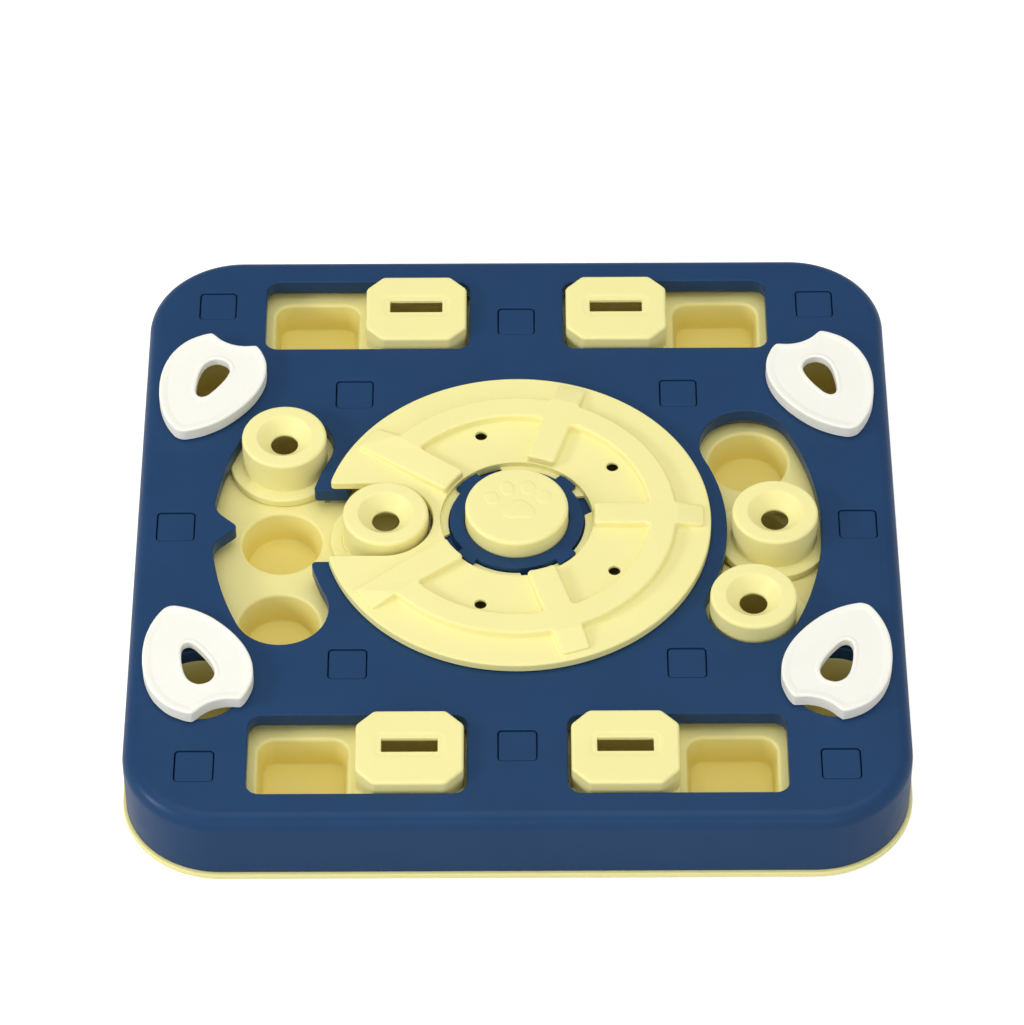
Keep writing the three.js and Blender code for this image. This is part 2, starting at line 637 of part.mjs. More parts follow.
function topCover() {
  const half = COVER_WIDTH / 2;
  const shell = loft(
    roundedOutline(half, half, COVER_CORNER),
    edged(COVER_FOOT, COVER_TOP, COVER_EDGE),
  );
  const inner = COVER_EDGE - COVER_SKIN;
  const hollow = loft(
    roundedOutline(half - COVER_SKIN, half - COVER_SKIN, COVER_CORNER - COVER_SKIN),
    [
      [COVER_FOOT - OVER, 0],
      [PLATE_BOTTOM - inner, 0],
      [PLATE_BOTTOM, inner],
    ],
  );
  const lips = [
    leftOpening(LIP_WALL, LIP_BOTTOM, PLATE_BOTTOM + OVER),
    prism(channelShape(LIP_WALL), LIP_BOTTOM, PLATE_BOTTOM + OVER, 0, 0, 0, FINE / 4),
    cylinder(OPENING_RADIUS + LIP_WALL, LIP_BOTTOM, PLATE_BOTTOM + OVER, 0, 0, FINE),
  ];
  const through = [LIP_BOTTOM - OVER, COVER_TOP + OVER];
  const holes = [
    leftOpening(0, ...through),
    prism(channelShape(0), ...through, 0, 0, 0, FINE / 4),
    cylinder(OPENING_RADIUS, ...through, 0, 0, FINE),
  ];
  for (const q of quadrants) {
    const slot = (spread, levels) =>
      loft(
        roundedOutline(SLOT_LENGTH / 2 + spread, SLOT_WIDTH / 2 + spread, SLOT_CORNER + spread, 3),
        levels,
        q.sx * SLOT_X,
        q.sy * SLOT_Y,
      );
    lips.push(slot(LIP_WALL, [[LIP_BOTTOM, 0], [PLATE_BOTTOM + OVER, 0]]));
    holes.push(slot(0, [[LIP_BOTTOM - OVER, 0], [COVER_TOP + OVER, 0]]));
    const [x, y] = [q.sx * CORNER_CUP_X, q.sy * CORNER_CUP_Y];
    lips.push(cylinder(CORNER_CUP_RADIUS + LIP_WALL, LIP_BOTTOM, PLATE_BOTTOM + OVER, x, y));
    holes.push(cylinder(CORNER_CUP_RADIUS, ...through, x, y));
  }
  const pocket = PLUG_WIDTH / 2 + PLUG_GAP;
  const pocketCorner = PLUG_CORNER + PLUG_GAP;
  for (const site of plugSites) {
    const box = (spread, bottom, top) =>
      loft(
        roundedOutline(pocket + spread, pocket + spread, pocketCorner + spread, 1),
        [[bottom, 0], [top, 0]],
        site.x,
        site.y,
      );
    lips.push(box(POCKET_WALL, POCKET_BOTTOM, PLATE_BOTTOM + OVER));
    holes.push(box(0, POCKET_TOP, COVER_TOP + OVER));
    holes.push(
      cylinder(SCREW_RADIUS + SCREW_PLAY, ...through, site.x, site.y, COARSE),
    );
  }
  for (const lid of lidSites)
    holes.push(cylinder(PIN_RADIUS + PIN_PLAY, ...through, ...lid.pivot, COARSE * 2));
  return cut(joined([shell.subtract(hollow), ...lips]), holes);
}

const roundCup = circleOutline(ROUND_CUP_RADIUS);
const cornerCup = circleOutline(CORNER_CUP_RADIUS);
const slotCup = roundedOutline(SLOT_CUP_LENGTH / 2, SLOT_CUP_WIDTH / 2, SLOT_CUP_CORNER, 2);
const roundCupSites = [-ROUND_CUP_Y, 0, ROUND_CUP_Y];

// The bulge of a channel tray round its middle cup
function cupBulge(sx, spread, bottom, top) {
  const radius = ROUND_CUP_RADIUS + CUP_WALL + GAP + spread;
  return cylinder(radius, bottom, top, sx * ROUND_CUP_X, 0);
}

// The openings in the base's deck that the trays' cups hang through
function deckOpenings() {
  const openings = [];
  const [bottom, top] = [DECK_BOTTOM - OVER, DECK_TOP + OVER];
  const channel = channelShape(CHANNEL_TRAY_MARGIN - TRAY_LEDGE);
  for (const sx of Object.values(LEFT_RIGHT)) {
    openings.push(prism(channel, bottom, top, 0, 0, sx > 0 ? 0 : Math.PI, FINE / 6));
    openings.push(cupBulge(sx, 0, bottom, top));
  }
  const halfX = SLOT_TRAY_LENGTH / 2 - TRAY_LEDGE;
  const halfY = SLOT_TRAY_WIDTH / 2 - TRAY_LEDGE;
  for (const q of quadrants) {
    const outline = roundedOutline(halfX, halfY, SLOT_CORNER, 1);
    openings.push(loft(outline, [[bottom, 0], [top, 0]], q.sx * SLOT_X, q.sy * SLOT_Y));
  }
  return openings;
}

function baseTray() {
  const half = COVER_WIDTH / 2 - COVER_SKIN - GAP;
  const corner = COVER_CORNER - COVER_SKIN - GAP;
  const wall = roundedOutline(half, half, corner);
  const rim = roundedOutline(RIM_WIDTH / 2, RIM_WIDTH / 2, RIM_CORNER);
  const body = [
    loft(wall, [[FOOT_PROUD, 0], [DECK_TOP, 0]]),
    loft(rim, [[FOOT_PROUD, 0], [COVER_FOOT, 0]]),
  ];
  const hollow = loft(wall, [[FOOT_PROUD - OVER, BASE_WALL], [DECK_BOTTOM, BASE_WALL]]);
  const parts = [joined(body).subtract(hollow)];
  const holes = deckOpenings();
  for (const q of quadrants) {
    const reach = half - BASE_WALL / 2;
    const inner = half - FOOT_PLATE;
    const plate = loft(wall, [[FOOT_PROUD, BASE_WALL / 2], [COVER_FOOT, BASE_WALL / 2]]);
    const region = block(
      [Math.min(q.sx * inner, q.sx * reach), Math.max(q.sx * inner, q.sx * reach)],
      [Math.min(q.sy * inner, q.sy * reach), Math.max(q.sy * inner, q.sy * reach)],
      [-OVER, COVER_FOOT + OVER],
    );
    parts.push(plate.intersect(region));
    const [fx, fy] = [q.sx * FOOT_SITE, q.sy * FOOT_SITE];
    holes.push(cylinder(FOOT_RADIUS + GAP, -OVER, FOOT_THICK, fx, fy));
    const [x, y] = [q.sx * CORNER_CUP_X, q.sy * CORNER_CUP_Y];
    const outside = cupOutside(cornerCup, LIP_BOTTOM, ROUND_CUP_TAPER);
    const inside = cupInside(cornerCup, CUP_FLOOR, LIP_BOTTOM, ROUND_CUP_TAPER);
    parts.push(loft(outside.outline, outside.levels, x, y));
    holes.push(loft(inside.outline, inside.levels, x, y));
  }
  for (const site of plugSites) {
    const bottom = DECK_TOP - DECK_SKIN / 2;
    parts.push(cylinder(BOSS_RADIUS, bottom, POCKET_BOTTOM, site.x, site.y, COARSE));
    const drill = SCREW_RADIUS + SCREW_PLAY;
    const end = POCKET_TOP - SCREW_LENGTH - GAP;
    holes.push(cylinder(drill, end, POCKET_BOTTOM + OVER, site.x, site.y, COARSE));
  }
  return cut(joined(parts), holes);
}

function slotTray(q) {
  const [x, y] = [q.sx * SLOT_X, q.sy * SLOT_Y];
  const plate = roundedOutline(
    SLOT_TRAY_LENGTH / 2,
    SLOT_TRAY_WIDTH / 2,
    SLOT_CORNER,
    1,
  );
  const parts = [loft(plate, [[DECK_TOP, 0], [TRAY_TOP, 0]], x, y)];
  const holes = [];
  for (const side of [-1, 1]) {
    const cx = x + (side * SLOT_CUP_PITCH) / 2;
    const outside = cupOutside(slotCup, DECK_TOP + TRAY_SKIN / 2, SLOT_CUP_TAPER);
    const inside = cupInside(slotCup, CUP_FLOOR, TRAY_TOP, SLOT_CUP_TAPER);
    parts.push(loft(outside.outline, outside.levels, cx, y));
    holes.push(loft(inside.outline, inside.levels, cx, y));
  }
  return cut(joined(parts), holes);
}

function channelTray(sx) {
  const turn = sx > 0 ? 0 : Math.PI;
  const shape = channelShape(CHANNEL_TRAY_MARGIN);
  const parts = [
    prism(shape, DECK_TOP, TRAY_TOP, 0, 0, turn, FINE / 6),
    cupBulge(sx, TRAY_LEDGE, DECK_TOP, TRAY_TOP),
  ];
  const holes = [];
  for (const y of roundCupSites) {
    const x = sx * ROUND_CUP_X;
    const outside = cupOutside(roundCup, DECK_TOP + TRAY_SKIN / 2, ROUND_CUP_TAPER);
    const inside = cupInside(roundCup, CUP_FLOOR, TRAY_TOP, ROUND_CUP_TAPER);
    parts.push(loft(outside.outline, outside.levels, x, y));
    holes.push(loft(inside.outline, inside.levels, x, y));
  }
  if (sx < 0) {
    const half = NECK_WIDTH / 2 + CHANNEL_TRAY_MARGIN;
    const inner = CHANNEL_RADIUS - CHANNEL_WIDTH / 2;
    parts.push(block([-inner, -HUB_RADIUS / 2], [-half, half], [DECK_TOP, TRAY_TOP]));
    holes.push(cylinder(HUB_RADIUS + GAP, DECK_TOP - OVER, TRAY_TOP + OVER));
  }
  return cut(joined(parts), holes);
}

function slidingBlock(q) {
  const top = COVER_TOP + BLOCK_RISE;
  const x = q.sx * (SLOT_X - SLOT_LENGTH / 2 + BLOCK_END_PLAY + BLOCK_LENGTH / 2);
  const y = q.sy * SLOT_Y;
  const outline = chamferedOutline(BLOCK_LENGTH / 2, BLOCK_WIDTH / 2, BLOCK_CHAMFER, BLOCK_ROUND);
  const halfX = BLOCK_LENGTH / 2;
  const halfY = BLOCK_WIDTH / 2 + BLOCK_RAIL;
  const body = loft(outline, edged(FLANGE_BOTTOM, top, BLOCK_EDGE, 2), x, y);
  const rails = block([-halfX, halfX], [-halfY, halfY], [FLANGE_BOTTOM, FLANGE_TOP], x, y);
  const inside = [
    [FLANGE_BOTTOM - OVER, BLOCK_WALL],
    [top - BLOCK_SKIN, BLOCK_WALL],
  ];
  const hole = block(
    [-BLOCK_HOLE_LENGTH / 2, BLOCK_HOLE_LENGTH / 2],
    [BLOCK_HOLE_SHIFT - BLOCK_HOLE_WIDTH / 2, BLOCK_HOLE_SHIFT + BLOCK_HOLE_WIDTH / 2],
    [FLANGE_TOP, top + OVER],
    x,
    y,
  );
  return cut(body.add(rails), [loft(outline, inside, x, y), hole]);
}

function puck([x, y]) {
  const top = COVER_TOP + PUCK_RISE;
  const inner = PUCK_RADIUS - PUCK_WALL;
  const slope = (PUCK_MOUTH - PUCK_HOLE) / PUCK_DISH;
  const ceiling = top - PUCK_WALL;
  const edge = (1 - Math.SQRT1_2) * PUCK_EDGE;
  const low = top - PUCK_DISH - PUCK_SKIN;
  const profile = [
    [inner, FLANGE_BOTTOM],
    [FLANGE_RADIUS, FLANGE_BOTTOM],
    [FLANGE_RADIUS, FLANGE_TOP],
    [PUCK_RADIUS, FLANGE_TOP],
    [PUCK_RADIUS, top - PUCK_EDGE],
    [PUCK_RADIUS - edge, top - edge],
    [PUCK_RADIUS - PUCK_EDGE, top],
    [PUCK_MOUTH, top],
    [PUCK_HOLE, top - PUCK_DISH],
    [PUCK_HOLE, low],
    [PUCK_HOLE + slope * (ceiling - low), ceiling],
    [inner, ceiling],
    [inner, FLANGE_BOTTOM],
  ];
  return turned(profile, x, y);
}

// A smooth closed curve through half an outline's points and their mirror image, cut into steps
function mirroredCurve(shares, steps) {
  const side = shares.map(([u, v]) => [u * LID_LENGTH, v * LID_LENGTH]);
  const down = side.map(([u, v]) => new THREE.Vector3(u, -v, 0));
  const up = side.map(([u, v]) => new THREE.Vector3(u, v, 0)).reverse();
  const curve = new THREE.CatmullRomCurve3([...down, ...up], true);
  return curve.getSpacedPoints(steps).slice(0, steps);
}

const lidPoints = mirroredCurve(LID_SIDE_SHARES, LID_STEPS);

function lidOutline(inset) {
  const count = lidPoints.length;
  return lidPoints.map((p, i) => {
    const before = lidPoints[(i + count - 1) % count];
    const after = lidPoints[(i + 1) % count];
    const along = after.clone().sub(before).normalize();
    return new THREE.Vector2(p.x - along.y * inset, p.y + along.x * inset);
  });
}

function lidEye() {
  return mirroredCurve(LID_EYE_SHARES, EYE_STEPS).map((p) => new THREE.Vector2(p.x, p.y));
}

function lid(site) {
  const [x, y] = site.tip;
  const body = loft(lidOutline, edged(LID_BOTTOM, LID_TOP, LID_EDGE, 1), x, y, site.turn);
  const ceiling = LID_TOP - LID_SKIN;
  const hollow = loft(
    lidOutline,
    [[LID_BOTTOM - OVER, LID_WALL], [ceiling, LID_WALL]],
    x,
    y,
    site.turn,
  );
  const pin = cylinder(PIN_RADIUS, PLATE_BOTTOM - PIN_PROUD, ceiling + OVER, ...site.pivot, COARSE * 2);
  const pad = cylinder(PIN_RADIUS + LID_WALL, LID_BOTTOM, ceiling + OVER, ...site.pivot, COARSE * 2);
  const eye = loft(lidEye, [[LID_BOTTOM - OVER, 0], [LID_TOP + OVER, 0]], x, y, site.turn);
  const drill = cylinder(
    LID_SCREW_RADIUS + SCREW_PLAY,
    PLATE_BOTTOM - OVER,
    PLATE_BOTTOM - PIN_PROUD + LID_SCREW_LENGTH + GAP,
    ...site.pivot,
    COARSE,
  );
  return cut(joined([body.subtract(hollow), pad, pin]), [eye, drill]);
}

function lidScrew(site) {
  const top = PLATE_BOTTOM - PIN_PROUD;
  const head = cylinder(LID_SCREW_HEAD, top - LID_SCREW_THICK, top, ...site.pivot, COARSE * 2);
  const shank = cylinder(
    LID_SCREW_RADIUS,
    top - LID_SCREW_THICK / 2,
    top + LID_SCREW_LENGTH,
    ...site.pivot,
    COARSE,
  );
  return head.add(shank);
}

// The raised ring and spokes on the disc, drawn in by an inset on every side
function discPattern(inset, bottom, top) {
  const step = (4 * QUARTER) / SPOKE_COUNT;
  const end = Math.floor(SPOKE_COUNT / 2) * step;
  const ring = new THREE.Shape();
  ring.absarc(0, 0, BAND_OUTER - inset, -end, end, false);
  ring.absarc(0, 0, BAND_INNER + inset, end, -end, true);
  const parts = [prism(ring, bottom, top, 0, 0, 0, FINE / 2)];
  for (let spoke = 0; spoke < SPOKE_COUNT; spoke++) {
    const beside = Math.abs(spoke - SPOKE_COUNT / 2) < 1;
    const half = (beside ? SPOKE_SIDE_WIDTH : SPOKE_WIDTH) / 2 - inset;
    const xs = [SPOKE_INNER + inset, SPOKE_OUTER - inset];
    parts.push(block(xs, [-half, half], [bottom, top], 0, 0, spoke * step));
  }
  return joined(parts);
}

function disc() {
  const plate = cylinder(DISC_RADIUS, DISC_BOTTOM, DISC_TOP, 0, 0, FINE);
  const pattern = discPattern(0, DISC_TOP - OVER, PATTERN_TOP);
  const half = NOTCH_WIDTH / 2;
  const notch = new THREE.Shape();
  notch.moveTo(-DISC_RADIUS - OVER, -half);
  notch.lineTo(-NOTCH_X, -half);
  notch.absarc(-NOTCH_X, 0, half, -QUARTER, QUARTER, false);
  notch.lineTo(-DISC_RADIUS - OVER, half);
  const through = [DISC_BOTTOM - OVER, PATTERN_TOP + OVER];
  const holes = [
    prism(notch, ...through, 0, 0, 0, ROUND / 2),
    ...cornerWedges(DISC_RADIUS, half, NOTCH_EDGE, ...through),
    cylinder(DISC_BORE, ...through),
    discPattern(RELIEF_WALL, DISC_BOTTOM - OVER, PATTERN_TOP - RELIEF_WALL),
  ];
  for (const turn of SCENT_TURNS) {
    const x = SCENT_CIRCLE * Math.cos(turn);
    const y = SCENT_CIRCLE * Math.sin(turn);
    holes.push(cylinder(SCENT_RADIUS, ...through, x, y, COARSE));
    holes.push(cylinder(SCENT_WELL, DISC_BOTTOM - OVER, DISC_TOP - SCENT_SKIN, x, y, COARSE * 2));
  }
  const lipBottom = DISC_BOTTOM + LIP_LIFT;
  const lipTop = lipBottom + LIP_THICK;
  const lip = cylinder(DISC_BORE + OVER, lipBottom, lipTop).subtract(
    cylinder(LIP_INNER, lipBottom - OVER, lipTop + OVER),
  );
  const gapHalf = DISC_BORE * Math.sin(LIP_GAP / 2);
  const gaps = LIP_GAP_TURNS.map((turn) =>
    block(
      [LIP_INNER - OVER, DISC_BORE],
      [-gapHalf, gapHalf],
      [lipBottom - OVER, lipTop + OVER],
      0,
      0,
      turn,
    ),
  );
  return cut(cut(plate.add(pattern), holes).add(lip), gaps);
}

function hubColumn() {
  const flangeBottom = HUB_TOP - HUB_FLANGE_THICK;
  const floor = DECK_TOP + HUB_FLOOR;
  return turned([
    [HUB_VENT, DECK_TOP],
    [HUB_RADIUS, DECK_TOP],
    [HUB_RADIUS, flangeBottom],
    [HUB_FLANGE, flangeBottom],
    [HUB_FLANGE, HUB_TOP],
    [HUB_BORE, HUB_TOP],
    [HUB_BORE, floor],
    [HUB_VENT, floor],
    [HUB_VENT, DECK_TOP],
  ]);
}

function lockRing() {
  const lipTop = DISC_BOTTOM + LIP_LIFT + LIP_THICK;
  const tabs = TAB_TURNS.map((turn) =>
    block(
      [(RING_INNER + RING_OUTER) / 2, TAB_RADIUS],
      [-TAB_WIDTH / 2, TAB_WIDTH / 2],
      [lipTop + TAB_GAP, RING_TOP],
      0,
      0,
      turn,
    ),
  );
  const ring = turned([
    [RING_INNER, HUB_TOP],
    [RING_OUTER, HUB_TOP],
    [RING_OUTER, RING_TOP],
    [RING_INNER, RING_TOP],
    [RING_INNER, HUB_TOP],
  ]);
  return joined([ring, ...tabs]);
}

const BUTTON_CEILING = BUTTON_TOP - BUTTON_WALL;

function button() {
  const flangeTop = HUB_TOP - BUTTON_FLANGE_GAP;
  const flangeBottom = flangeTop - BUTTON_FLANGE_THICK;
  const inner = BUTTON_RADIUS - BUTTON_WALL;
  const edge = (1 - Math.SQRT1_2) * BUTTON_EDGE;
  return turned([
    [0, BUTTON_CEILING],
    [inner, BUTTON_CEILING],
    [inner, flangeBottom],
    [BUTTON_FLANGE, flangeBottom],
    [BUTTON_FLANGE, flangeTop],
    [BUTTON_RADIUS, flangeTop],
    [BUTTON_RADIUS, BUTTON_TOP - BUTTON_EDGE],
    [BUTTON_RADIUS - edge, BUTTON_TOP - edge],
    [BUTTON_RADIUS - BUTTON_EDGE, BUTTON_TOP],
    [0, BUTTON_TOP],
  ]);
}

function bellows() {
  const bottom = DECK_TOP + HUB_FLOOR;
  const fold = (BUTTON_CEILING - bottom) / BELLOWS_FOLDS;
  const outside = [];
  const inside = [];
  for (let step = 0; step <= 2 * BELLOWS_FOLDS; step++) {
    const radius = step % 2 ? BELLOWS_OUTER : BELLOWS_INNER;
    const z = bottom + (step * fold) / 2;
    outside.push([radius, z]);
    if (z < BUTTON_CEILING - fold / 4) inside.push([radius - BELLOWS_WALL, z]);
  }
  return turned(
    [
      [0, BUTTON_CEILING - BELLOWS_WALL],
      [BELLOWS_INNER - BELLOWS_WALL, BUTTON_CEILING - BELLOWS_WALL],
      ...inside.reverse(),
      ...outside,
      [0, BUTTON_CEILING],
    ],
    0,
    0,
    COARSE * 2,
  );
}

function plug(site) {
  const half = PLUG_WIDTH / 2;
  const levels = [
    [PLUG_TOP - PLUG_THICK, 0],
    [PLUG_TOP - PLUG_EDGE, 0],
    [PLUG_TOP, PLUG_EDGE],
  ];
  return loft(roundedOutline(half, half, PLUG_CORNER, 1), levels, site.x, site.y);
}

function coverScrew(site) {
  const head = cylinder(
    SCREW_HEAD,
    POCKET_TOP,
    POCKET_TOP + SCREW_HEAD_THICK,
    site.x,
    site.y,
    COARSE,
  );
  const shank = cylinder(
    SCREW_RADIUS,
    POCKET_TOP - SCREW_LENGTH,
    POCKET_TOP + SCREW_HEAD_THICK / 2,
    site.x,
    site.y,
    COARSE,
  );
  return head.add(shank);
}

const toy = new THREE.Group();

// Adds a solid to the toy as a named mesh with its own material
function add(name, made, colour) {
  const { numProp, vertProperties, triVerts } = made.getMesh();
  const points = [];
  for (let i = 0; i < vertProperties.length; i += numProp)
    points.push(vertProperties[i], vertProperties[i + 1], vertProperties[i + 2]);
  const geometry = new THREE.BufferGeometry();
  geometry.setAttribute("position", new THREE.Float32BufferAttribute(points, 3));
  geometry.setIndex(Array.from(triVerts));
  const mesh = new THREE.Mesh(geometry, new THREE.MeshStandardMaterial({ color: colour }));
  mesh.name = name;
  toy.add(mesh);
}

add("top_cover", topCover(), NAVY);
add("base_tray", baseTray(), CREAM);
for (const [side, sx] of Object.entries(LEFT_RIGHT))
  add("channel_tray_" + side, channelTray(sx), CREAM);
for (const q of quadrants) {
  add("slot_tray_" + q.name, slotTray(q), CREAM);
  add("slide_block_" + q.name, slidingBlock(q), CREAM);
  const [x, y] = [q.sx * FOOT_SITE, q.sy * FOOT_SITE];
  add("foot_" + q.name, cylinder(FOOT_RADIUS, 0, FOOT_THICK, x, y), RUBBER);
}
for (const site of lidSites) {
  add("lid_" + site.name, lid(site), WHITE);
  add("lid_screw_" + site.name, lidScrew(site), STEEL);
}
for (const [name, [share, turn]] of Object.entries(PUCK_PLACE_SHARES)) {
  const radius = share * CHANNEL_RADIUS;
  add(name, puck([radius * Math.cos(turn), radius * Math.sin(turn)]), CREAM);
}
add("disc", disc(), CREAM);
add("hub_column", hubColumn(), NAVY);
add("lock_ring", lockRing(), NAVY);
add("button", button(), CREAM);
add("squeaker_bellows", bellows(), WHITE);
for (const site of plugSites) {
  add("plug_" + site.name, plug(site), NAVY);
  add("screw_" + site.name, coverScrew(site), STEEL);
}

export default toy;
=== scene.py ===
"""Looks of the dog puzzle feeder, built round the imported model.

Shapes are worked out in millimetres in the row frame and turned into metres when a mesh is made.
"""

import json
import math

import bpy
import bmesh
import numpy as np
from mathutils import Matrix, Vector
from mathutils.geometry import delaunay_2d_cdt

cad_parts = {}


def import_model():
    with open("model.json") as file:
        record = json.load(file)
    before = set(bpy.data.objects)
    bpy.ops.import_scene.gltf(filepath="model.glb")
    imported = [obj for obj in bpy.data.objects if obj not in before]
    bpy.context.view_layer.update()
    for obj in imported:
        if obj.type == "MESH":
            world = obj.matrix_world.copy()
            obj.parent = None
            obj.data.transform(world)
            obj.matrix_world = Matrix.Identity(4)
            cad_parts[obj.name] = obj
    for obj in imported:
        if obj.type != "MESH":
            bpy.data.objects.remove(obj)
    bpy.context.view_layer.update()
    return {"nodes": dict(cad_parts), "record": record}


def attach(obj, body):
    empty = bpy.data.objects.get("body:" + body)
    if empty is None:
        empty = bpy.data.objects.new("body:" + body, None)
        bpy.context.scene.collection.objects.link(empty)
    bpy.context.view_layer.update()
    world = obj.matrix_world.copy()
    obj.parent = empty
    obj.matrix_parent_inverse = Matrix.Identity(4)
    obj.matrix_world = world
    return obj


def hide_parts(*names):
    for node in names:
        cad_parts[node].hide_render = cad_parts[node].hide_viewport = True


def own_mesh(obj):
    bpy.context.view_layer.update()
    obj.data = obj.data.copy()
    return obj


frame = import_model()

MM = 0.001
SIDES = {"left": -1, "right": 1}
DEPTHS = {"front": -1, "rear": 1}
QUADRANTS = [
    (f"{depth}_{side}", sx, sy)
    for depth, sy in DEPTHS.items()
    for side, sx in SIDES.items()
]

# Heights
RIM_BOTTOM = 0.4
COVER_FOOT = 2.8
COVER_TOP = 31.5
CEILING = 29.0
LIP_BOTTOM = 25.6
TRAY_TOP = 21.6
DECK_TOP = 20.5
DECK_BOTTOM = 18.5
CUP_FLOOR = 9.1
CUP_BOTTOM = 7.9
FLANGE_BOTTOM = 21.8
FLANGE_TOP = 25.0
DISC_BOTTOM = 31.8
DISC_TOP = 35.3
PATTERN_TOP = 38.6
HUB_TOP = 31.7
RING_TOP = 35.2
LID_BOTTOM = 31.8
LID_TOP = 37.2
BUTTON_TOP = 42.7


# Outlines


def arc(cx, cy, radius, start, end, count):
    """count + 1 points on an arc, angles in degrees."""
    a = np.radians(np.linspace(start, end, count + 1))
    return np.c_[cx + radius * np.cos(a), cy + radius * np.sin(a)]


def circle(radius, count=64, cx=0.0, cy=0.0):
    return lambda d: arc(cx, cy, radius + d, 0, 360, count)[:-1]


def rounded(hx, hy, radius, steps=8, cx=0.0, cy=0.0):
    """A rounded rectangle that can be spread by a distance."""

    def at(d):
        r = max(radius + d, 0.05)
        x, y = hx + d - r, hy + d - r
        corners = [(x, y, 0), (-x, y, 90), (-x, -y, 180), (x, -y, 270)]
        return np.vstack(
            [arc(cx + px, cy + py, r, a, a + 90, steps) for px, py, a in corners]
        )

    return at


def mitred(points):
    """A closed counterclockwise outline that can be spread along its mitres."""
    points = np.asarray(points, float)
    keep = np.hypot(*(points - np.roll(points, 1, axis=0)).T) > 1e-4
    points = points[keep]

    def at(d):
        ahead = np.roll(points, -1, axis=0) - points
        ahead /= np.hypot(*ahead.T)[:, None]
        behind = np.roll(ahead, 1, axis=0)
        normal = lambda e: np.c_[e[:, 1], -e[:, 0]]
        total = normal(ahead) + normal(behind)
        share = 2.0 / np.maximum((total**2).sum(1), 0.5)
        return points + d * total * share[:, None]

    return at


def round_corners(corners, steps=5):
    """A closed outline through (x, y, radius) corners."""
    out = []
    pts = np.array([(x, y) for x, y, _ in corners], float)
    for i, (_, _, radius) in enumerate(corners):
        p, before, after = pts[i], pts[i - 1], pts[(i + 1) % len(pts)]
        if radius <= 0:
            out.append([p])
            continue
        a = (before - p) / np.hypot(*(before - p))
        b = (after - p) / np.hypot(*(after - p))
        half = math.acos(max(-1, min(1, float(a @ b)))) / 2
        reach = radius / math.tan(half)
        middle = a + b
        centre = p + middle / np.hypot(*middle) * radius / math.sin(half)
        s, e = p + a * reach - centre, p + b * reach - centre
        start, end = math.atan2(s[1], s[0]), math.atan2(e[1], e[0])
        turn = (end - start + math.pi) % (2 * math.pi) - math.pi
        angles = start + turn * np.linspace(0, 1, steps + 1)
        out.append(centre + radius * np.c_[np.cos(angles), np.sin(angles)])
    return np.vstack(out)


def turned(points, degrees, cx=0.0, cy=0.0):
    a = math.radians(degrees)
    spin = np.array([[math.cos(a), math.sin(a)], [-math.sin(a), math.cos(a)]])
    return np.asarray(points) @ spin + (cx, cy)


# Meshes


class Shell:
    """Points and faces of one closed piece, added ring by ring."""

    def __init__(self):
        self.points, self.faces = [], []

    def ring(self, outline, z):
        start = len(self.points)
        height = np.broadcast_to(np.asarray(z, float), (len(outline),))
        self.points += [(x, y, h) for (x, y), h in zip(outline, height)]
        return list(range(start, len(self.points)))

    def band(self, a, b):
        n = len(a)
        self.faces += [(a[i], a[(i + 1) % n], b[(i + 1) % n], b[i]) for i in range(n)]

    def tube(self, outline, rows, first=None):
        """Rings at each (height, spread) joined by bands; returns the first and the last ring."""
        rings = [] if first is None else [first]
        rings += [self.ring(outline(d), z) for z, d in rows]
        for a, b in zip(rings, rings[1:]):
            self.band(a, b)
        return rings[0], rings[-1]

    def cap(self, outer, holes=()):
        loops = [outer, *holes]
        flat = [i for loop in loops for i in loop]
        coords = [Vector(self.points[i][:2]) for i in flat]
        edges, start = [], 0
        for loop in loops:
            n = len(loop)
            edges += [(start + k, start + (k + 1) % n) for k in range(n)]
            start += n
        found, _, faces, origin, _, _ = delaunay_2d_cdt(coords, edges, [], 1, 1e-7)
        faces = np.array(faces)
        middle = np.array([tuple(v) for v in found])[faces].mean(1)
        a = np.array([tuple(coords[i]) for i, _ in edges])
        b = np.array([tuple(coords[j]) for _, j in edges])
        inside = np.zeros(len(middle), bool)
        for (ax, ay), (bx, by) in zip(a, b):
            between = (ay > middle[:, 1]) != (by > middle[:, 1])
            if between.any():
                x = ax + (middle[:, 1] - ay) * (bx - ax) / ((by - ay) or 1)
                inside ^= between & (middle[:, 0] < x)
        for face in faces[inside]:
            self.faces.append(tuple(flat[origin[v][0]] for v in face))

    def piece(self, name, smooth=32.0):
        mesh = bpy.data.meshes.new(name)
        points = np.array(self.points, float) * MM
        mesh.from_pydata(points.tolist(), [], self.faces)
        bm = bmesh.new()
        bm.from_mesh(mesh)
        bmesh.ops.remove_doubles(bm, verts=bm.verts, dist=1e-7)
        bmesh.ops.dissolve_degenerate(bm, edges=bm.edges, dist=1e-8)
        bmesh.ops.recalc_face_normals(bm, faces=bm.faces)
        bm.to_mesh(mesh)
        bm.free()
        mesh.shade_smooth()
        mesh.set_sharp_from_angle(angle=math.radians(smooth))
        obj = bpy.data.objects.new(name, mesh)
        bpy.context.scene.collection.objects.link(obj)
        weigh = obj.modifiers.new("weighted normals", "WEIGHTED_NORMAL")
        weigh.keep_sharp = True
        return obj


def convex(z, edge, spread=0.0, steps=5, side=-1, up=True):
    """Rows round a convex edge, from the flat face at height z to the wall at the given spread.
    side is -1 where the solid lies inside the outline and 1 where it lies outside it."""
    rows = []
    for k in range(steps + 1):
        a = math.pi / 2 * k / steps
        away = edge * (1 - math.sin(a))
        drop = edge * (1 - math.cos(a))
        rows.append((z - drop if up else z + drop, spread + side * away))
    return rows


